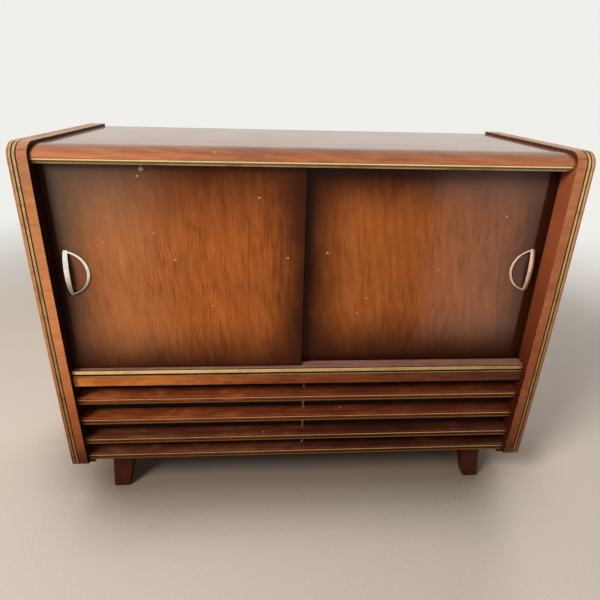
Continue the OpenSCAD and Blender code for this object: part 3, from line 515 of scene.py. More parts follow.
wood("fascia_wood", rgb(70, 28, 12), rgb(124, 62, 30), rgb(180, 104, 54), "X", 4.5, 0.8, 0.6, wear=0.6, worn=TAN,
     coat_rough=0.25, lit=[("X", -0.5, 0.5, (
         (0, (1.5, 1.85, 1.2)), (0.2, (1.2, 1.3, 1)), (0.4, (0.62, 0.56, 0.5)), (0.9, (0.26, 0.28, 0.36))))])
wood("leg_wood", rgb(30, 11, 6), rgb(62, 26, 14), rgb(98, 46, 26), "Z", 5, wear=0.7, worn=rgb(120, 62, 36),
     coat=0.15, coat_rough=0.25)
wood("dark_wood", rgb(18, 7, 4), rgb(38, 17, 10), rgb(62, 30, 18), "X", 7, wear=0.2, coat=0.15, coat_rough=0.2,
     specks=0)
wood("rail_wood", rgb(96, 68, 26), rgb(140, 104, 48), rgb(176, 138, 76), "X", 7.5, 0.6, rings=0, wear=0,
     coat=0.1, coat_rough=0.3, specks=0, shade_and_dirt_share=0.3)
wood("track_wood", rgb(84, 54, 46), rgb(136, 100, 88), rgb(172, 134, 116), "X", 8, 0.6, 0.6, coat=0.15,
     coat_rough=0.35, specks=0)
wood("inner_wood", rgb(70, 32, 17), rgb(124, 66, 38), rgb(164, 98, 60), "X", 9, rings=0.3, wear=0.2,
     coat_rough=0.2, specks=0)
board_stock("plywood", rgb(176, 140, 98), rgb(120, 86, 52), "Y")
board_stock("hardboard", rgb(136, 100, 66), rgb(92, 62, 38))
metal("brass", rgb(252, 226, 170), rgb(196, 152, 92), 0.2, "X", 0.3)
metal("sill_brass", rgb(252, 222, 158), rgb(176, 130, 78), 0.24, "X", 0.4,
      lit=[("X", -0.5, 0.5, ((0.2, PLAIN), (1, (0.6, 0.48, 0.42))))])
metal("dull_brass", rgb(178, 152, 112), rgb(96, 74, 44), 0.36, "X", 0.7, 9)
# The lower strip of each louvre takes the full tarnish colour as painted shade.
metal("strip_brass", rgb(226, 170, 104), rgb(132, 86, 48), 0.32, "X", 0.45,
      dark_bands=[(z + 1 * MM, 4 * MM, 6 * MM) for z in strip_z])
metal("inlay_brass", rgb(228, 190, 138), rgb(136, 98, 62), 0.28, "Z", 0.6, 40,
      lit=[("Z", 0.15, 0.9, ((0, (0.4, 0.34, 0.3)), (0.4, (0.7, 0.66, 0.56)), (1, PLAIN)))])
# One handle metal in two copies: the left one painted whiter and brighter as lit, the right one darker and pinker as
# shaded; the left one darkens to its tarnish colour round its lower end.
metal("left_handle", rgb(252, 246, 240), rgb(160, 138, 130), 0.1, "Z", 0.4, 60, dark_bands=[(0.578, 0.01, 0.06)])
metal("right_handle", rgb(240, 208, 184), rgb(168, 132, 112), 0.14, "Z", 0.5, 60)
metal("chrome", rgb(226, 226, 226), rgb(150, 146, 140), 0.1, amount=0.15)
metal("steel", rgb(176, 178, 180), rgb(120, 108, 92), 0.35, "X", 0.4)
metal("laminations", rgb(112, 108, 104), rgb(70, 54, 42), 0.42, "X", 0.5)
plastic("black_plastic", rgb(26, 24, 23), 0.35, 0.1)
plastic("brown_plastic", rgb(66, 36, 22), 0.25, 0.1)
plastic("cream_plastic", rgb(232, 220, 186))
plastic("red_plastic", rgb(190, 60, 34), 0.2, 0.1)
plastic("dial_paint", rgb(226, 212, 168), 0.4, 0.3, 0)
plastic("dial_ink", rgb(58, 34, 22), 0.5, 0.1, 0)
glass("dial_glass", rgb(236, 244, 238))
glass("valve_glass", rgb(228, 232, 232))
enamel("changer_paint", rgb(222, 212, 188))
rubber("rubber_mat", rgb(34, 30, 29))
rubber("paper", rgb(58, 47, 38))
woven("speaker_cloth", rgb(40, 20, 12), rgb(8, 3, 2), 1.6 * MM)


# Mesh kit

UP = Matrix.Identity(3)
FRONT = Matrix.Rotation(math.radians(90), 3, "X")
BACK = Matrix.Rotation(math.radians(-90), 3, "X")


def link(name, data):
    """A new object with these data, in the scene."""
    made = bpy.data.objects.new(name, data)
    bpy.context.scene.collection.objects.link(made)
    return made


def show(name, mesh, finish, body="cabinet", slot=None, instead_of=()):
    """Makes a visible piece, gives it its finish and body, and hides the CAD nodes that it stands for."""
    made = link(name, mesh)
    mesh.materials.append(FINISH[finish])
    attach(made, body)
    if instead_of:
        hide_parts(*instead_of)
    return made


def rounded(half_width, half_depth, corner, steps=5):
    """A rectangle's outline with round corners."""
    return [(sx * (half_width - corner) + corner * math.cos(a), sy * (half_depth - corner) + corner * math.sin(a))
            for k, (sx, sy) in enumerate(((1, 1), (-1, 1), (-1, -1), (1, -1)))
            for a in (math.pi / 2 * (k + i / steps) for i in range(steps + 1))]


def domed(width, height, crown):
    """A flat-backed strip section of (across, out) points with a rounded face."""
    arc = [(width / 2 * math.cos(a), height - crown + crown * math.sin(a))
           for a in (math.pi - math.pi * k / 8 for k in range(9))]
    return [(-width / 2, 0), *arc, (width / 2, 0)]


def ribbon(path):
    """Rings of domed section along (point, across, out, width, height, crown) steps."""
    return [[Vector(point) + Vector(across) * a + Vector(out) * b for a, b in domed(*section)]
            for point, across, out, *section in path]


class Form:
    """The vertices and faces of one piece, gathered shape by shape in millimetres about a place."""

    def __init__(self, place=(0, 0, 0), turn=UP):
        self.verts, self.faces = [], []
        self.place, self.turn = Vector(place), turn

    def rings(self, rings, closed=False):
        """Joins rings of points one after the other and closes the ends."""
        start, count = len(self.verts), len(rings[0])
        self.verts += [self.place + MM * (self.turn @ Vector(p)) for ring in rings for p in ring]
        for k in range(len(rings) if closed else len(rings) - 1):
            a, b = start + k * count, start + (k + 1) % len(rings) * count
            self.faces += [(a + i, a + (i + 1) % count, b + (i + 1) % count, b + i) for i in range(count)]
        if not closed:
            self.faces.append(tuple(start + i for i in reversed(range(count))))
            self.faces.append(tuple(start + (len(rings) - 1) * count + i for i in range(count)))
        return self

    def lathe(self, profile, centre=(0, 0), steps=40, flute=lambda a, h: 1):
        """Turns (radius, height) points about the local Z axis."""
        turns = [2 * math.pi * k / steps for k in range(steps)]
        return self.rings([[(centre[0] + max(r, 0.02) * flute(a, h) * math.cos(a),
                             centre[1] + max(r, 0.02) * flute(a, h) * math.sin(a), h)
                            for a in turns] for r, h in profile])

    def block(self, width, depth, corner, profile, centre=(0, 0)):
        """Takes a rounded rectangle through (inset, height) steps."""
        return self.rings([[(centre[0] + x, centre[1] + y, h) for x, y in
                            rounded(width / 2 - inset, depth / 2 - inset, max(corner - inset, 0.1))]
                           for inset, h in profile])

    def slab(self, width, depth, height, centre, low, edge):
        """A block with softened edges."""
        half = [(edge, 0), (0.3 * edge, 0.3 * edge), (0, edge)]
        steps = [(inset, low + h) for inset, h in half] + [(inset, low + height - h) for inset, h in reversed(half)]
        return self.block(width, depth, 2 * edge, steps, centre)

    def piece(self, name, *looks, **links):
        """Shows the gathered faces as one smooth piece."""
        work = bmesh.new()
        points = [work.verts.new(v) for v in self.verts]
        for face in self.faces:
            work.faces.new([points[i] for i in face])
        bmesh.ops.recalc_face_normals(work, faces=work.faces)
        mesh = bpy.data.meshes.new(name)
        work.to_mesh(mesh)
        work.free()
        mesh.shade_smooth()
        show(name, mesh, *looks, **links).modifiers.new("crease", "EDGE_SPLIT").split_angle = math.radians(38)


def dress(finish, names, width=0.6, segments=2):
    """Gives CAD nodes their material and, as they are shown, rounded edges so many millimetres wide."""
    for name in names.split():
        node = nodes[name]
        node.data.materials.clear()
        node.data.materials.append(FINISH[finish])
        if not width:
            continue
        node.data.shade_smooth()
        node.modifiers.new("weld", "WELD").merge_threshold = 0.01 * MM
        flat = node.modifiers.new("flat", "DECIMATE")
        flat.decimate_type, flat.angle_limit = "DISSOLVE", math.radians(0.05)
        bevel = node.modifiers.new("round", "BEVEL")
        bevel.width, bevel.segments = width * MM, segments
        bevel.limit_method, bevel.angle_limit = "ANGLE", math.radians(35)
        node.modifiers.new("normals", "WEIGHTED_NORMAL").keep_sharp = False


# Cabinet

dress("left_side", "left_side_panel", 0.7)
dress("right_side", "right_side_panel", 0.7)
dress("top_veneer", "top_board", 0.8)
dress("left_veneer", "left_door", 1)
dress("right_veneer", "right_door", 1)
dress("dark_wood", "upper_door_track shelf_board bottom_cleats")
dress("rail_wood", "head_rail")
dress("track_wood", "lower_door_track")
dress("louvre_wood", "upper_louvre middle_louvre lower_louvre bottom_board", 0.7)
dress("fascia_wood", "fascia", 0.7)
dress("leg_wood", "legs", 1.5, 3)
dress("steel", "leg_plates")
dress("hardboard", "upper_back_panel lower_back_panel")
dress("plywood", "baffle_board")
dress("speaker_cloth", "speaker_cloth", 0)
dress("inner_wood", "centre_divider radio_shelf record_dividers changer_board")
dress("brass", "top_strip", 1.2, 4)
dress("sill_brass", "sill_strip", 1.2, 4)
dress("dull_brass", "head_strip fascia_strip", 0.7, 3)
dress("strip_brass", "louvre_strips", 0.7, 3)
dress("inlay_brass", "side_inlays", 1.1, 4)
dress("black_plastic", "mains_inlet")
dress("cream_plastic", "radio_panel", 1.2, 3)
dress("dial_paint", "dial_scale", 0.3)
dress("dial_glass", "dial_cover", 0)
dress("red_plastic", "tuning_pointer", 0.4)
dress("changer_paint", "changer_plate", 0.9, 3)
dress("chrome", "spindle", 0.4)


def make_handle(node, way, body):
    """Half-moon handle: a bowed bar, and a crescent rim whose ends butt against it."""
    low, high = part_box(node)
    _, rise, height = extent(low, high)
    radius = height / 2
    bar_w, thick = 12.4, 2.6
    bar, rim = [], []
    for k in range(41):
        t = -1 + k / 20
        lift = (rise - thick) * (1 - t * t) ** 0.75
        slope = -1.5 * (rise - thick) * t * max(1 - t * t, 0.04) ** -0.25 / radius
        bar.append(((way * bar_w / 2, -lift, t * (radius - 0.6)), (1, 0, 0), Vector((0, -1, -slope)).normalized(),
                    bar_w - t * t, thick, 1.5))
    for k in range(49):
        a = math.radians(-77.5 + 155 * k / 48)
        width = 5 + 2.6 * math.cos(a) ** 2
        across = Vector((way * math.cos(a), 0, math.sin(a)))
        rim.append((across * (radius - width / 2), across, (0, -1, 0), width, 3.6, 1.9))
    form = Form(seat(low, high, 0 if way > 0 else 1, 1, 0.5))
    form.rings(ribbon(bar)).rings(ribbon(rim)).piece(node + "_metal", node, body, "handle_metal", (node,))


def make_posts():
    """Turned posts between the louvres, with a collar at each end."""
    form = Form()
    for low, high in shells("louvre_posts"):
        form.place = seat(low, high, 0.5, 0.5, 0)
        width, _, h = extent(low, high)
        r = width / 2
        collar = [(r, 0), (r, 1.6), (r - 0.5, 2.2), (r - 1.4, 3), (r - 1.4, 4.4), (r - 0.9, 6)]
        form.lathe(collar + [(r - 0.7, h / 2)] + [(x, h - z) for x, z in reversed(collar)])
    form.piece("turned_posts", "dull_brass", slot="brass", instead_of=("louvre_posts",))


WASHER = 1.45  # times the radius of the screw's head


def slotted_head(form, radius, height, turn):
    """A domed screw head in two halves with the slot between them, on its cup washer."""
    slot, rim = 0.16 * radius, 0.98 * radius
    form.lathe([(radius * WASHER, 0), (radius * WASHER, 0.25 * height), (radius * 1.15, 0.6 * height),
                (radius, 0.4 * height), (0, 0.4 * height)], steps=24)
    for side in (-1, 1):
        rings = []
        for k in range(7):
            u = slot + (rim - slot) * k / 6
            half = math.sqrt(radius ** 2 - u ** 2)
            arc = [(-half * math.cos(a), 0.45 * height + 0.55 * height * half / radius * math.sin(a))
                   for a in (math.pi * i / 8 for i in range(9))]
            rings.append([Matrix.Rotation(turn, 3, "Z") @ Vector((side * u, v, w))
                          for v, w in [(-half, 0.3 * height), *arc, (half, 0.3 * height)]])
        form.rings(rings)


def make_back_screws():
    form = Form(turn=BACK)
    for k, (low, high) in enumerate(shells("back_screws")):
        form.place = seat(low, high, 0.5, 0, 0.5)
        width, depth, _ = extent(low, high)
        slotted_head(form, width / 2 / WASHER, depth, 1.3 * k)
    form.piece("slotted_screws", "steel", instead_of=("back_screws",))


make_handle("left_handle", 1, "left_door")
make_handle("right_handle", -1, "right_door")
make_posts()
make_back_screws()


# Speakers


def make_speakers():
    baskets, cones, caps, horns, domes = (Form(turn=BACK) for _ in range(5))
    for low, high in (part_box("left_woofer"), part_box("right_woofer")):
        baskets.place = cones.place = caps.place = seat(low, high, 0.5, 0, 0.5)
        r = extent(low, high)[0] / 2
        baskets.lathe([(r - 13, 0), (r, 0), (r, 2.2), (r - 1, 3), (r - 8, 3), (r - 10, 6), (r - 13, 9)], steps=64)
        for k in range(6):
            spin = Matrix.Rotation(math.pi / 3 * k, 3, "Z")
            baskets.rings([[spin @ Vector((r - inset + v, u, depth))
                            for u, v in ((-half, -0.8), (half, -0.8), (half, 0.8), (-half, 0.8))]
                           for inset, depth, half in ((9, 2.5, 9), (14, 12, 7), (24, 30, 6), (31, 42, 7))])
        baskets.lathe([(30, 40), (36, 40.5), (36, 43), (34.5, 43.6), (34.5, 46), (36, 46.6), (36, 62), (35, 63.5),
                       (33, 63.5), (33, 66), (0, 66)], steps=64)
        wave = [(r - 14 + 6 * (1 - k / 12), 2.2 + 1.2 * math.sin(k * 2.1)) for k in range(13)]
        slope = [(r - 15 - (r - 34) * k / 8, 2.5 + 25 * (k / 8) ** 1.15 + 0.35 * (k % 2)) for k in range(9)]
        cones.lathe(wave + slope + [(18, 30), (18.6, 31), (r - 16, 4.6), (r - 8, 4.4)], steps=64)
        caps.lathe([(18.4, 29.5), (17, 26), (13, 23), (7, 21.2), (0, 20.6), (0, 21.6), (12, 24), (18, 30.5)], steps=48)
    for low, high in shells("tweeters"):
        horns.place = domes.place = seat(low, high, 0.5, 0, 0.5)
        r = extent(low, high)[0] / 2
        horns.lathe([(9, 21), (12, 16), (18, 8), (25, 2.5), (r - 10, 0.6), (r - 8, 0), (r, 0), (r, 2.4), (r - 1, 3),
                     (r - 8, 3), (21, 23), (20, 24.5), (20, 38.5), (18.5, 40), (0, 40), (0, 38)], steps=56)
        domes.lathe([(9.4, 20), (7, 16.6), (3.5, 15), (0, 14.4), (0, 15.4), (5, 17), (9, 21)])
    baskets.piece("speaker_baskets", "steel", instead_of=("left_woofer", "right_woofer"))
    cones.piece("speaker_cones", "paper", instead_of=("woofer_cones",))
    caps.piece("dust_caps", "paper")
    horns.piece("tweeter_horns", "steel", instead_of=("tweeters",))
    domes.piece("tweeter_domes", "paper")


make_speakers()


# Radio

panel_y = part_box("radio_panel")[0].y


def make_dial_frame():
    """A mitred frame of domed strip round the dial, standing forward from the panel."""
    low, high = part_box("dial_cover")
    half = 2.25
    rings = [[(x / MM + sx * (a + half), z / MM + sz * (a + half), b) for a, b in domed(2 * half, 3.2, 1.92)]
             for x, z, sx, sz in ((low.x, low.z, -1, -1), (high.x, low.z, 1, -1), (high.x, high.z, 1, 1),
                                  (low.x, high.z, -1, 1))]
    Form((0, panel_y, 0), FRONT).rings(rings, closed=True).piece("dial_frame", "brass")


def make_dial_print():
    """Lines, ticks and plain numbers of the tuning scale."""
    low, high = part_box("dial_scale")
    form = Form((0, low.y, 0), FRONT)
    width = (high.x - low.x) / MM - 36
    mid_x, low_z, high_z = (low.x + high.x) / 2 / MM, low.z / MM, high.z / MM

    def bar(x0, x1, z0, z1):
        form.rings([[(x0, z0, h), (x1, z0, h), (x1, z1, h), (x0, z1, h)] for h in (0, 0.12)])

    rows = ((high_z - 16, high_z - 10.4, 4, "88 90 92 94 96 98 100 102 104 106 108"),
            (low_z + 30, low_z + 35.4, 5, "52 54 56 58 60 65 70 80 90 100 120 140 150 160"),
            (low_z + 12, low_z + 17, 2, "16 18 20 25 30 35 40 45 50"))
    numbers = bmesh.new()
    for z, label_z, fine, text in rows:
        words = text.split()
        last = len(words) - 1
        bar(mid_x - width / 2, mid_x + width / 2, z - 0.25, z + 0.25)
        for k in range(last * fine + 1):
            x = mid_x - width / 2 + width * k / (last * fine)
            half, tall = (0.15, 2.2) if k % fine else (0.3, 4.2)
            bar(x - half, x + half, z, z + tall)
        for k, word in enumerate(words):
            curve = bpy.data.curves.new("number", "FONT")
            curve.body, curve.size, curve.align_x = word, 4.6, "CENTER"
            curve.extrude, curve.resolution_u = 0.06, 2
            made = link("number", curve)
            mesh = bpy.data.meshes.new_from_object(made.evaluated_get(bpy.context.evaluated_depsgraph_get()))
            place = (mid_x * MM + width * (k / last - 0.5) * MM, low.y - 0.06 * MM, label_z * MM)
            mesh.transform(Matrix.Translation(place) @ FRONT.to_4x4() @ Matrix.Scale(MM, 4))
            numbers.from_mesh(mesh)
            bpy.data.objects.remove(made)
            bpy.data.meshes.remove(mesh)
    form.piece("dial_lines", "dial_ink", slot="dial_paint")
    mesh = bpy.data.meshes.new("dial_numbers")
    numbers.to_mesh(mesh)
    numbers.free()
    show("dial_numbers", mesh, "dial_ink", slot="dial_paint")


def make_knob(node):
    """Fluted knob with a turned brass cap and a pointer mark, seen from the front."""
    low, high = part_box(node)
    r = extent(low, high)[0] / 2
    depth, behind = (panel_y - low.y) / MM, (high.y - panel_y) / MM
    place = ((low.x + high.x) / 2, panel_y, (low.z + high.z) / 2)
    flutes = 30 if r > 16 else 22

    def flute(a, h):
        return 1 - 0.035 * (0.5 + 0.5 * math.cos(flutes * a)) ** 2 if 3.5 < h < depth - 3.5 else 1

    Form(place, FRONT).lathe(
        [(r - 2, 1), (r, 1.2), (r, 3.2), (r - 0.6, 3.6), (r - 0.7, 5), (r - 1.1, depth - 6), (r - 1.4, depth - 3.8),
         (r - 1.8, depth - 3.2), (r - 2.6, depth - 1.6), (r - 4, depth - 0.9), (r * 0.64, depth - 1),
         (r * 0.62, depth - 1.6), (0, depth - 1.6)],
        steps=flutes * 6, flute=flute).piece(node + "_body", "cream_plastic", node, instead_of=(node,))
    steps = [(r * 0.6, depth - 2.2), (r * 0.6, depth - 0.5), (r * 0.57, depth - 0.15)]
    for k in range(6):
        edge = r * (0.54 - 0.075 * k)
        steps += [(edge, depth - 0.1), (edge - r * 0.03, depth - 0.45)]
    steps += [(r * 0.08, depth - 0.3), (0, depth - 0.1)]
    Form(place, FRONT).lathe(steps, steps=56).piece(node + "_cap", "brass", node)
    mark = Form(place, FRONT).slab(1.4, r * 0.3, 0.7, (0, r * 0.78), depth - 1.5, 0.2)
    mark.piece(node + "_mark", "red_plastic", node)
    shaft = Form(place, BACK).lathe([(3, -1.5), (3, behind - 0.6), (2.4, behind)], steps=24)
    shaft.piece(node + "_shaft", "steel", node)


def make_key(node):
    """Push key with a dished face."""
    low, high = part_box(node)
    width, reach, height = extent(low, high)
    steps = [(0.4, 0), (0, 0.4), (0, reach - 1.6), (0.35, reach - 0.6), (1, reach - 0.1), (1.8, reach)]
    steps += [(1.8 + 0.6 * k, reach - 1.5 * math.sin(math.pi / 2 * min(1, k / 5)) ** 1.3) for k in range(1, 7)]
    form = Form(seat(low, high, 0.5, 1, 0.5), FRONT).block(width, height, 1.8, steps)
    form.piece(node + "_cap", "cream_plastic", node, instead_of=(node,))


make_dial_frame()
make_dial_print()
for knob in ("volume_knob", "tuning_knob", "tone_knob", "balance_knob"):
    make_knob(knob)
for key in ("key_off", "key_radio", "key_record", "key_stereo"):
    make_key(key)


# Chassis with valves


def make_valve(base, bulb, plates, r, top):
    """A valve: moulded base, glass envelope, and the plates and getter inside it."""
    base.lathe([(r + 1.5, 0), (r + 1.5, 5), (r + 0.6, 6), (r + 0.4, 13), (r - 0.6, 14), (0, 14)], steps=28)
    bulb.lathe([(r - 0.8, 13), (r, 15), (r, top - r * 0.9), (r * 0.94, top - r * 0.6), (r * 0.7, top - r * 0.22),
                (r * 0.3, top - 1.6), (1.6, top - 1.2), (0.8, top), (0, top)], steps=28)
    plates.lathe([(r * 0.6, 17), (r * 0.62, 18), (r * 0.62, top - r * 1.3), (r * 0.6, top - r * 1.25),
                  (r * 0.66, top - r * 1.24), (r * 0.66, top - r * 1.18), (0, top - r * 1.18)], steps=20)


def make_chassis(node, tray, front, tall, transformer_x, valve_x, valve_y, cans):
    """Folded tray with a transformer, electrolytic cans and a row of valves."""
    low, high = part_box(node)
    width, depth, height = extent(low, high)
    steel, plates, base, bulb, chrome = forms = [Form(low) for _ in range(5)]
    steel.block(width, depth - front, 2.5,
                [(1.4, 0), (0.2, 0), (0, 0.6), (0, tray - 2), (0.5, tray - 0.6), (1.8, tray)],
                (width / 2, front + (depth - front) / 2))
    if front:
        for x in (9, width - 9):
            steel.slab(16, front + 2, tray, (x, front / 2 + 1), 0, 0.5)
    for x in (14, width / 2, width - 14):
        for y in (front + 12, depth - 12):
            steel.lathe([(4.2, tray), (4.2, tray + 0.8), (3, tray + 2.2), (0, tray + 2.6)], (x, y), 20)
    stack = [(6, tray)]
    for k in range(18):
        inset = 6 if k % 2 else 6.4
        stack += [(inset, tray + 6 + k * (tall - 14) / 17), (inset, tray + 6 + (k + 0.8) * (tall - 14) / 17)]
    across, deep, valve_r = 68, 76, 11.5
    centre = (transformer_x, front + depth * 0.28 + 20)
    plates.block(across, deep, 2, stack + [(6, tray + tall - 6)], centre)
    steel.block(across - 6, deep - 26, 6, [(0, tray), (0, tray + tall - 5), (1.5, tray + tall - 2), (6, tray + tall)],
                centre)
    for x, y, r, h in cans:
        chrome.lathe([(r, tray), (r, tray + h - 3), (r - 0.7, tray + h - 1), (r - 2.5, tray + h),
                      (r - 3.5, tray + h - 1.2), (0, tray + h - 1.2)], (x, y), 32)
        base.lathe([(r + 2, tray), (r + 2, tray + 2.5), (r, tray + 3), (r, tray)], (x, y), 32)
    for x in valve_x:
        base.place = bulb.place = plates.place = low + MM * Vector((x, valve_y, tray))
        make_valve(base, bulb, plates, valve_r, height - tray - 0.5)
    for form, finish, slot in zip(forms, ("steel", "laminations", "brown_plastic", "valve_glass", "chrome"),
                                  ("steel", "steel", "black_plastic", "dial_glass", "chrome")):
        form.piece("%s_%s" % (node, finish), finish, slot=slot, instead_of=(node,) if form is steel else ())


make_chassis("radio_chassis", 46, 14, 56, 56, (136, 178, 220, 262), 156,
             ((310, 90, 15, 46), (350, 90, 15, 46), (398, 84, 22, 38)))
make_chassis("amplifier_chassis", 36, 0, 46, 52, (126, 168, 210, 252), 92, ((120, 148, 14, 44), (160, 148, 14, 44)))


# Record changer


def make_platter():
    """Cast disc with a polished rim under a ribbed rubber mat."""
    low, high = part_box("platter")
    place = seat(low, high, 0.5, 0.5, 0)
    width, _, top = extent(low, high)
    r = width / 2
    Form(place).lathe(
        [(3.8, 0), (r - 7, 0), (r - 3.5, 1.6), (r, 6), (r, 7.5), (r - 0.7, 8), (r - 0.7, 8.6), (r, 9), (r, 10.2),
         (r - 0.8, 11), (r - 5, 11.4), (r - 6, 11), (3.8, 11)],
        steps=128).piece("platter_disc", "chrome", "platter", instead_of=("platter",))
    ribs = [(r - 6.2, 11), (r - 6.2, top - 1), (r - 7, top - 0.3), (r - 12, top - 0.3), (r - 12.6, top - 1.4)]
    edge = r - 14
    while edge > 52:
        ribs += [(edge, top - 1.4), (edge - 0.4, top - 0.1), (edge - 1.6, top - 0.1), (edge - 2, top - 1.4)]
        edge -= 4.2
    ribs += [(50, top - 1.2), (49, top), (45, top), (44, top - 1.2), (22, top - 1.2), (21, top - 0.2), (9, top - 0.2),
             (8, top - 1.2), (4, top - 1.2), (4, 11)]
    Form(place).lathe(ribs, steps=128).piece("platter_mat", "rubber_mat", "platter")


def make_tonearm():
    """Streamlined moulded arm that widens into the head shell, with a lift, a weight and a steel needle."""
    low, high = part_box("tonearm_pivot")
    pivot = seat(low, high, 0.5, 0.5, 1)
    front, back = ((box.y - pivot.y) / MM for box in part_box("tonearm"))
    place = (pivot.x, pivot.y, pivot.z + 6 * MM)
    stations = ((front, 5, 3, -1.5), (front + 1.5, 12, 6.5, -1.2), (front + 5, 16.5, 8.4, -1),
                (front + 16, 18, 9, -1), (front + 32, 17.2, 9, -1), (front + 44, 13, 8.6, -0.4),
                (front + 60, 10, 8.8, 0), (-90, 8.8, 9, 0), (-40, 9.4, 9, 0), (-22, 13, 10, 0), (-13, 20, 11.6, 0),
                (-4, 22, 12, 0), (8, 22, 12, 0), (14, 19, 11.4, 0), (19, 13, 10.4, 0), (22, 11, 10, 0))
    shell = Form(place).rings([
        [(x, y, z + drop) for x, z in rounded(width / 2, height / 2, min(width, height) * 0.42, 6)]
        for y, width, height, drop in stations])
    shell.piece("tonearm_shell", "cream_plastic", "tonearm", instead_of=("tonearm",))
    weight = ((21.5, 4), (22, 9), (22.6, 9.8), (23.4, 10), (30, 10), (30.3, 9.6), (30.9, 9.6), (31.2, 10),
              (back - 1.2, 10), (back - 0.3, 9.4), (back, 8.2), (back, 0.1))
    metal_parts = Form(place)
    metal_parts.rings([[(r * math.cos(a), y, r * math.sin(a)) for a in [math.pi * k / 20 for k in range(40)]]
                       for y, r in weight])
    metal_parts.rings([[(8.6 + u, front + 12 + v, w) for u, v in ((0, 0), (0, 5), (t, 5), (t, 0))]
                       for w, u, t in ((-3.5, 0, 0.8), (-1, 0.6, 0.8), (1.4, 1.6, 0.8), (2.4, 1.6, 0.8))])
    metal_parts.lathe([(0.3, -10), (1, -8.2), (1, -5)], (0, front + 40 / 3), 16)
    metal_parts.piece("tonearm_metal", "chrome", "tonearm")
    tall = extent(low, high)[2]
    post = Form((pivot.x, pivot.y, low.z)).lathe(
        [(10, 0), (10, 2.4), (9.2, 3.2), (7.4, 4), (6.8, tall * 0.5), (7.4, tall - 3.4), (9, tall - 2.4), (9, tall)],
        steps=48)
    post.piece("tonearm_post", "cream_plastic", "tonearm", instead_of=("tonearm_pivot",))


def make_speed_knob():
    """Small turned knob with a tapered lever."""
    low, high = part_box("speed_knob")
    width, depth, _ = extent(low, high)
    r = width / 2
    reach = depth - r
    form = Form(((low.x + high.x) / 2, high.y - r * MM, low.z))
    form.lathe([(r - 0.6, 0), (r, 0.6), (r, 2.6), (r - 0.8, 3.4), (r - 2, 4), (r - 3, 9), (r - 4, 11), (r - 6, 12),
                (r - 7, 11.4), (0, 11)], steps=60,
               flute=lambda a, h: 1 - 0.03 * (0.5 + 0.5 * math.cos(20 * a)) if 3.5 < h < 10 else 1)
    lever = ((-r * 0.5, 3, 3), (-r * 0.8, 2.8, 2.8), (-reach + 3, 1.8, 2.2), (-reach + 0.6, 1.6, 2), (-reach, 1, 1.4))
    form.rings([[(x, y, z + 7) for x, z in rounded(half, tall, 0.8, 4)] for y, half, tall in lever])
    form.piece("speed_lever", "cream_plastic", "speed_knob", instead_of=("speed_knob",))


def make_plate_trim():
    """Corner screws of the changer plate, with their rubber washers."""
    low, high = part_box("changer_plate")
    deck_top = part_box("changer_board")[1].z + 3 * MM
    screws, washers = Form(), Form()
    for x in (low.x + 18 * MM, high.x - 18 * MM):
        for y in (low.y + 16 * MM, high.y - 16 * MM):
            screws.place = washers.place = Vector((x, y, deck_top))
            slotted_head(screws, 3.6, 2.6, 40 * x + 9 * y)
            washers.lathe([(6.4, 0), (6.4, 0.5), (5.6, 0.9), (5.2, 0.9), (5.2, 0)], steps=28)
    screws.piece("plate_screws", "steel")
    washers.piece("plate_washers", "rubber_mat")


make_platter()
make_tonearm()
make_speed_knob()
make_plate_trim()


# Stage, lights and camera

BACKGROUND = rgb(240, 239, 236)


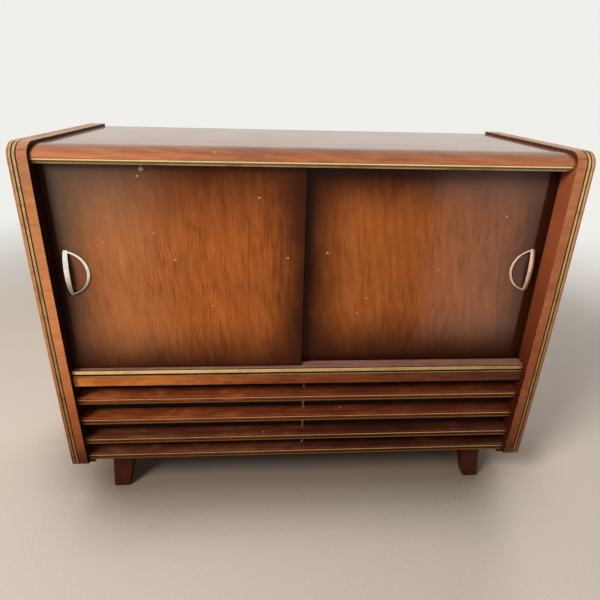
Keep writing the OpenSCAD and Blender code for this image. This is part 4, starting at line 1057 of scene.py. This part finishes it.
def stage():
    """Plain pale floor, which runs out into the background's colour on every side, with the object's shadow and a
    painted shadow close round the object.
    """
    half, painted_shadow_reach, fade_from, fade_to = 14, 0.3, 1.3, 3.4
    mesh = bpy.data.meshes.new("floor")
    mesh.from_pydata([(-half, -half, 0), (half, -half, 0), (half, half, 0), (-half, half, 0)], [], [(0, 1, 2, 3)])
    floor = link("floor", mesh)
    s = Shader("floor")
    pile = s.noise(s.coords, 300, 3, 0.7)
    carpet = s.mix(s.span(pile, 0.3, 0.7), rgb(190, 183, 176), rgb(203, 196, 189))
    # Painted shadow: the floor darkens close round the object.
    open_share = s.add("AmbientOcclusion", {"Distance": painted_shadow_reach}, samples=12).outputs["AO"]
    carpet = s.mix(s.span(open_share, 0.95, 0.5), carpet, rgb(118, 106, 95))
    plain = s.add("BsdfDiffuse", {"Color": carpet})
    far = s.add("Emission", {"Color": BACKGROUND, "Strength": 1})
    fade = s.times(s.span(s.vector("LENGTH", s.coords), fade_from, fade_to), s.seen())
    mesh.materials.append(s.blend(fade, plain, far, "OutputMaterial"))


def world():
    """Soft even light, with a pale background where it is seen directly or in a reflection."""
    s = Shader("studio", bpy.data.worlds)
    light = s.add("Background", {"Color": rgb(255, 250, 244), "Strength": 0.31})
    pale = s.add("Background", {"Color": BACKGROUND, "Strength": 1})
    bpy.context.scene.world = s.blend(s.seen(), light, pale, "OutputWorld")


def lamp(name, place, target, size, power, colour):
    """A large soft lamp that gives no highlight of its own."""
    data = bpy.data.lights.new(name, "AREA")
    data.shape, data.size, data.energy, data.color = "DISK", size, power, colour
    light = link(name, data)
    light.location = place
    light.rotation_euler = (Vector(target) - Vector(place)).to_track_quat("-Z", "Y").to_euler()
    light.visible_glossy = False


def camera():
    """The photograph's own view, from the fit to the cabinet's edges."""
    frame_px, focal_px, centre_row = 600, 450.1, 262
    yaw, pitch, roll = (math.radians(a) for a in (3.950, 21.390, 1.555))
    data = bpy.data.cameras.new("camera")
    data.sensor_width = 36
    data.lens = data.sensor_width * focal_px / frame_px
    data.shift_y = (centre_row - frame_px / 2) / frame_px
    data.clip_start, data.clip_end = 0.02, 100
    cam = link("camera", data)
    cam.matrix_world = (Matrix.Translation((-81.4 * MM, -1100.5 * MM, 1013.2 * MM)) @ Matrix.Rotation(-yaw, 4, "Z")
                        @ Matrix.Rotation(math.pi / 2 - pitch, 4, "X") @ Matrix.Rotation(roll, 4, "Z"))
    bpy.context.scene.camera = cam


stage()
world()
lamp("key", (-2.2, -2.1, 2.9), (0, -0.1, 0.5), 1.3, 163, rgb(255, 247, 236))
lamp("fill", (2, -3, 1.6), (0, -0.1, 0.5), 1.8, 14, rgb(240, 244, 255))
lamp("rear", (2.2, 2.8, 2.4), (0, 0, 0.4), 1.8, 58, rgb(255, 250, 244))
camera()
bpy.context.scene.view_settings.view_transform = "Standard"
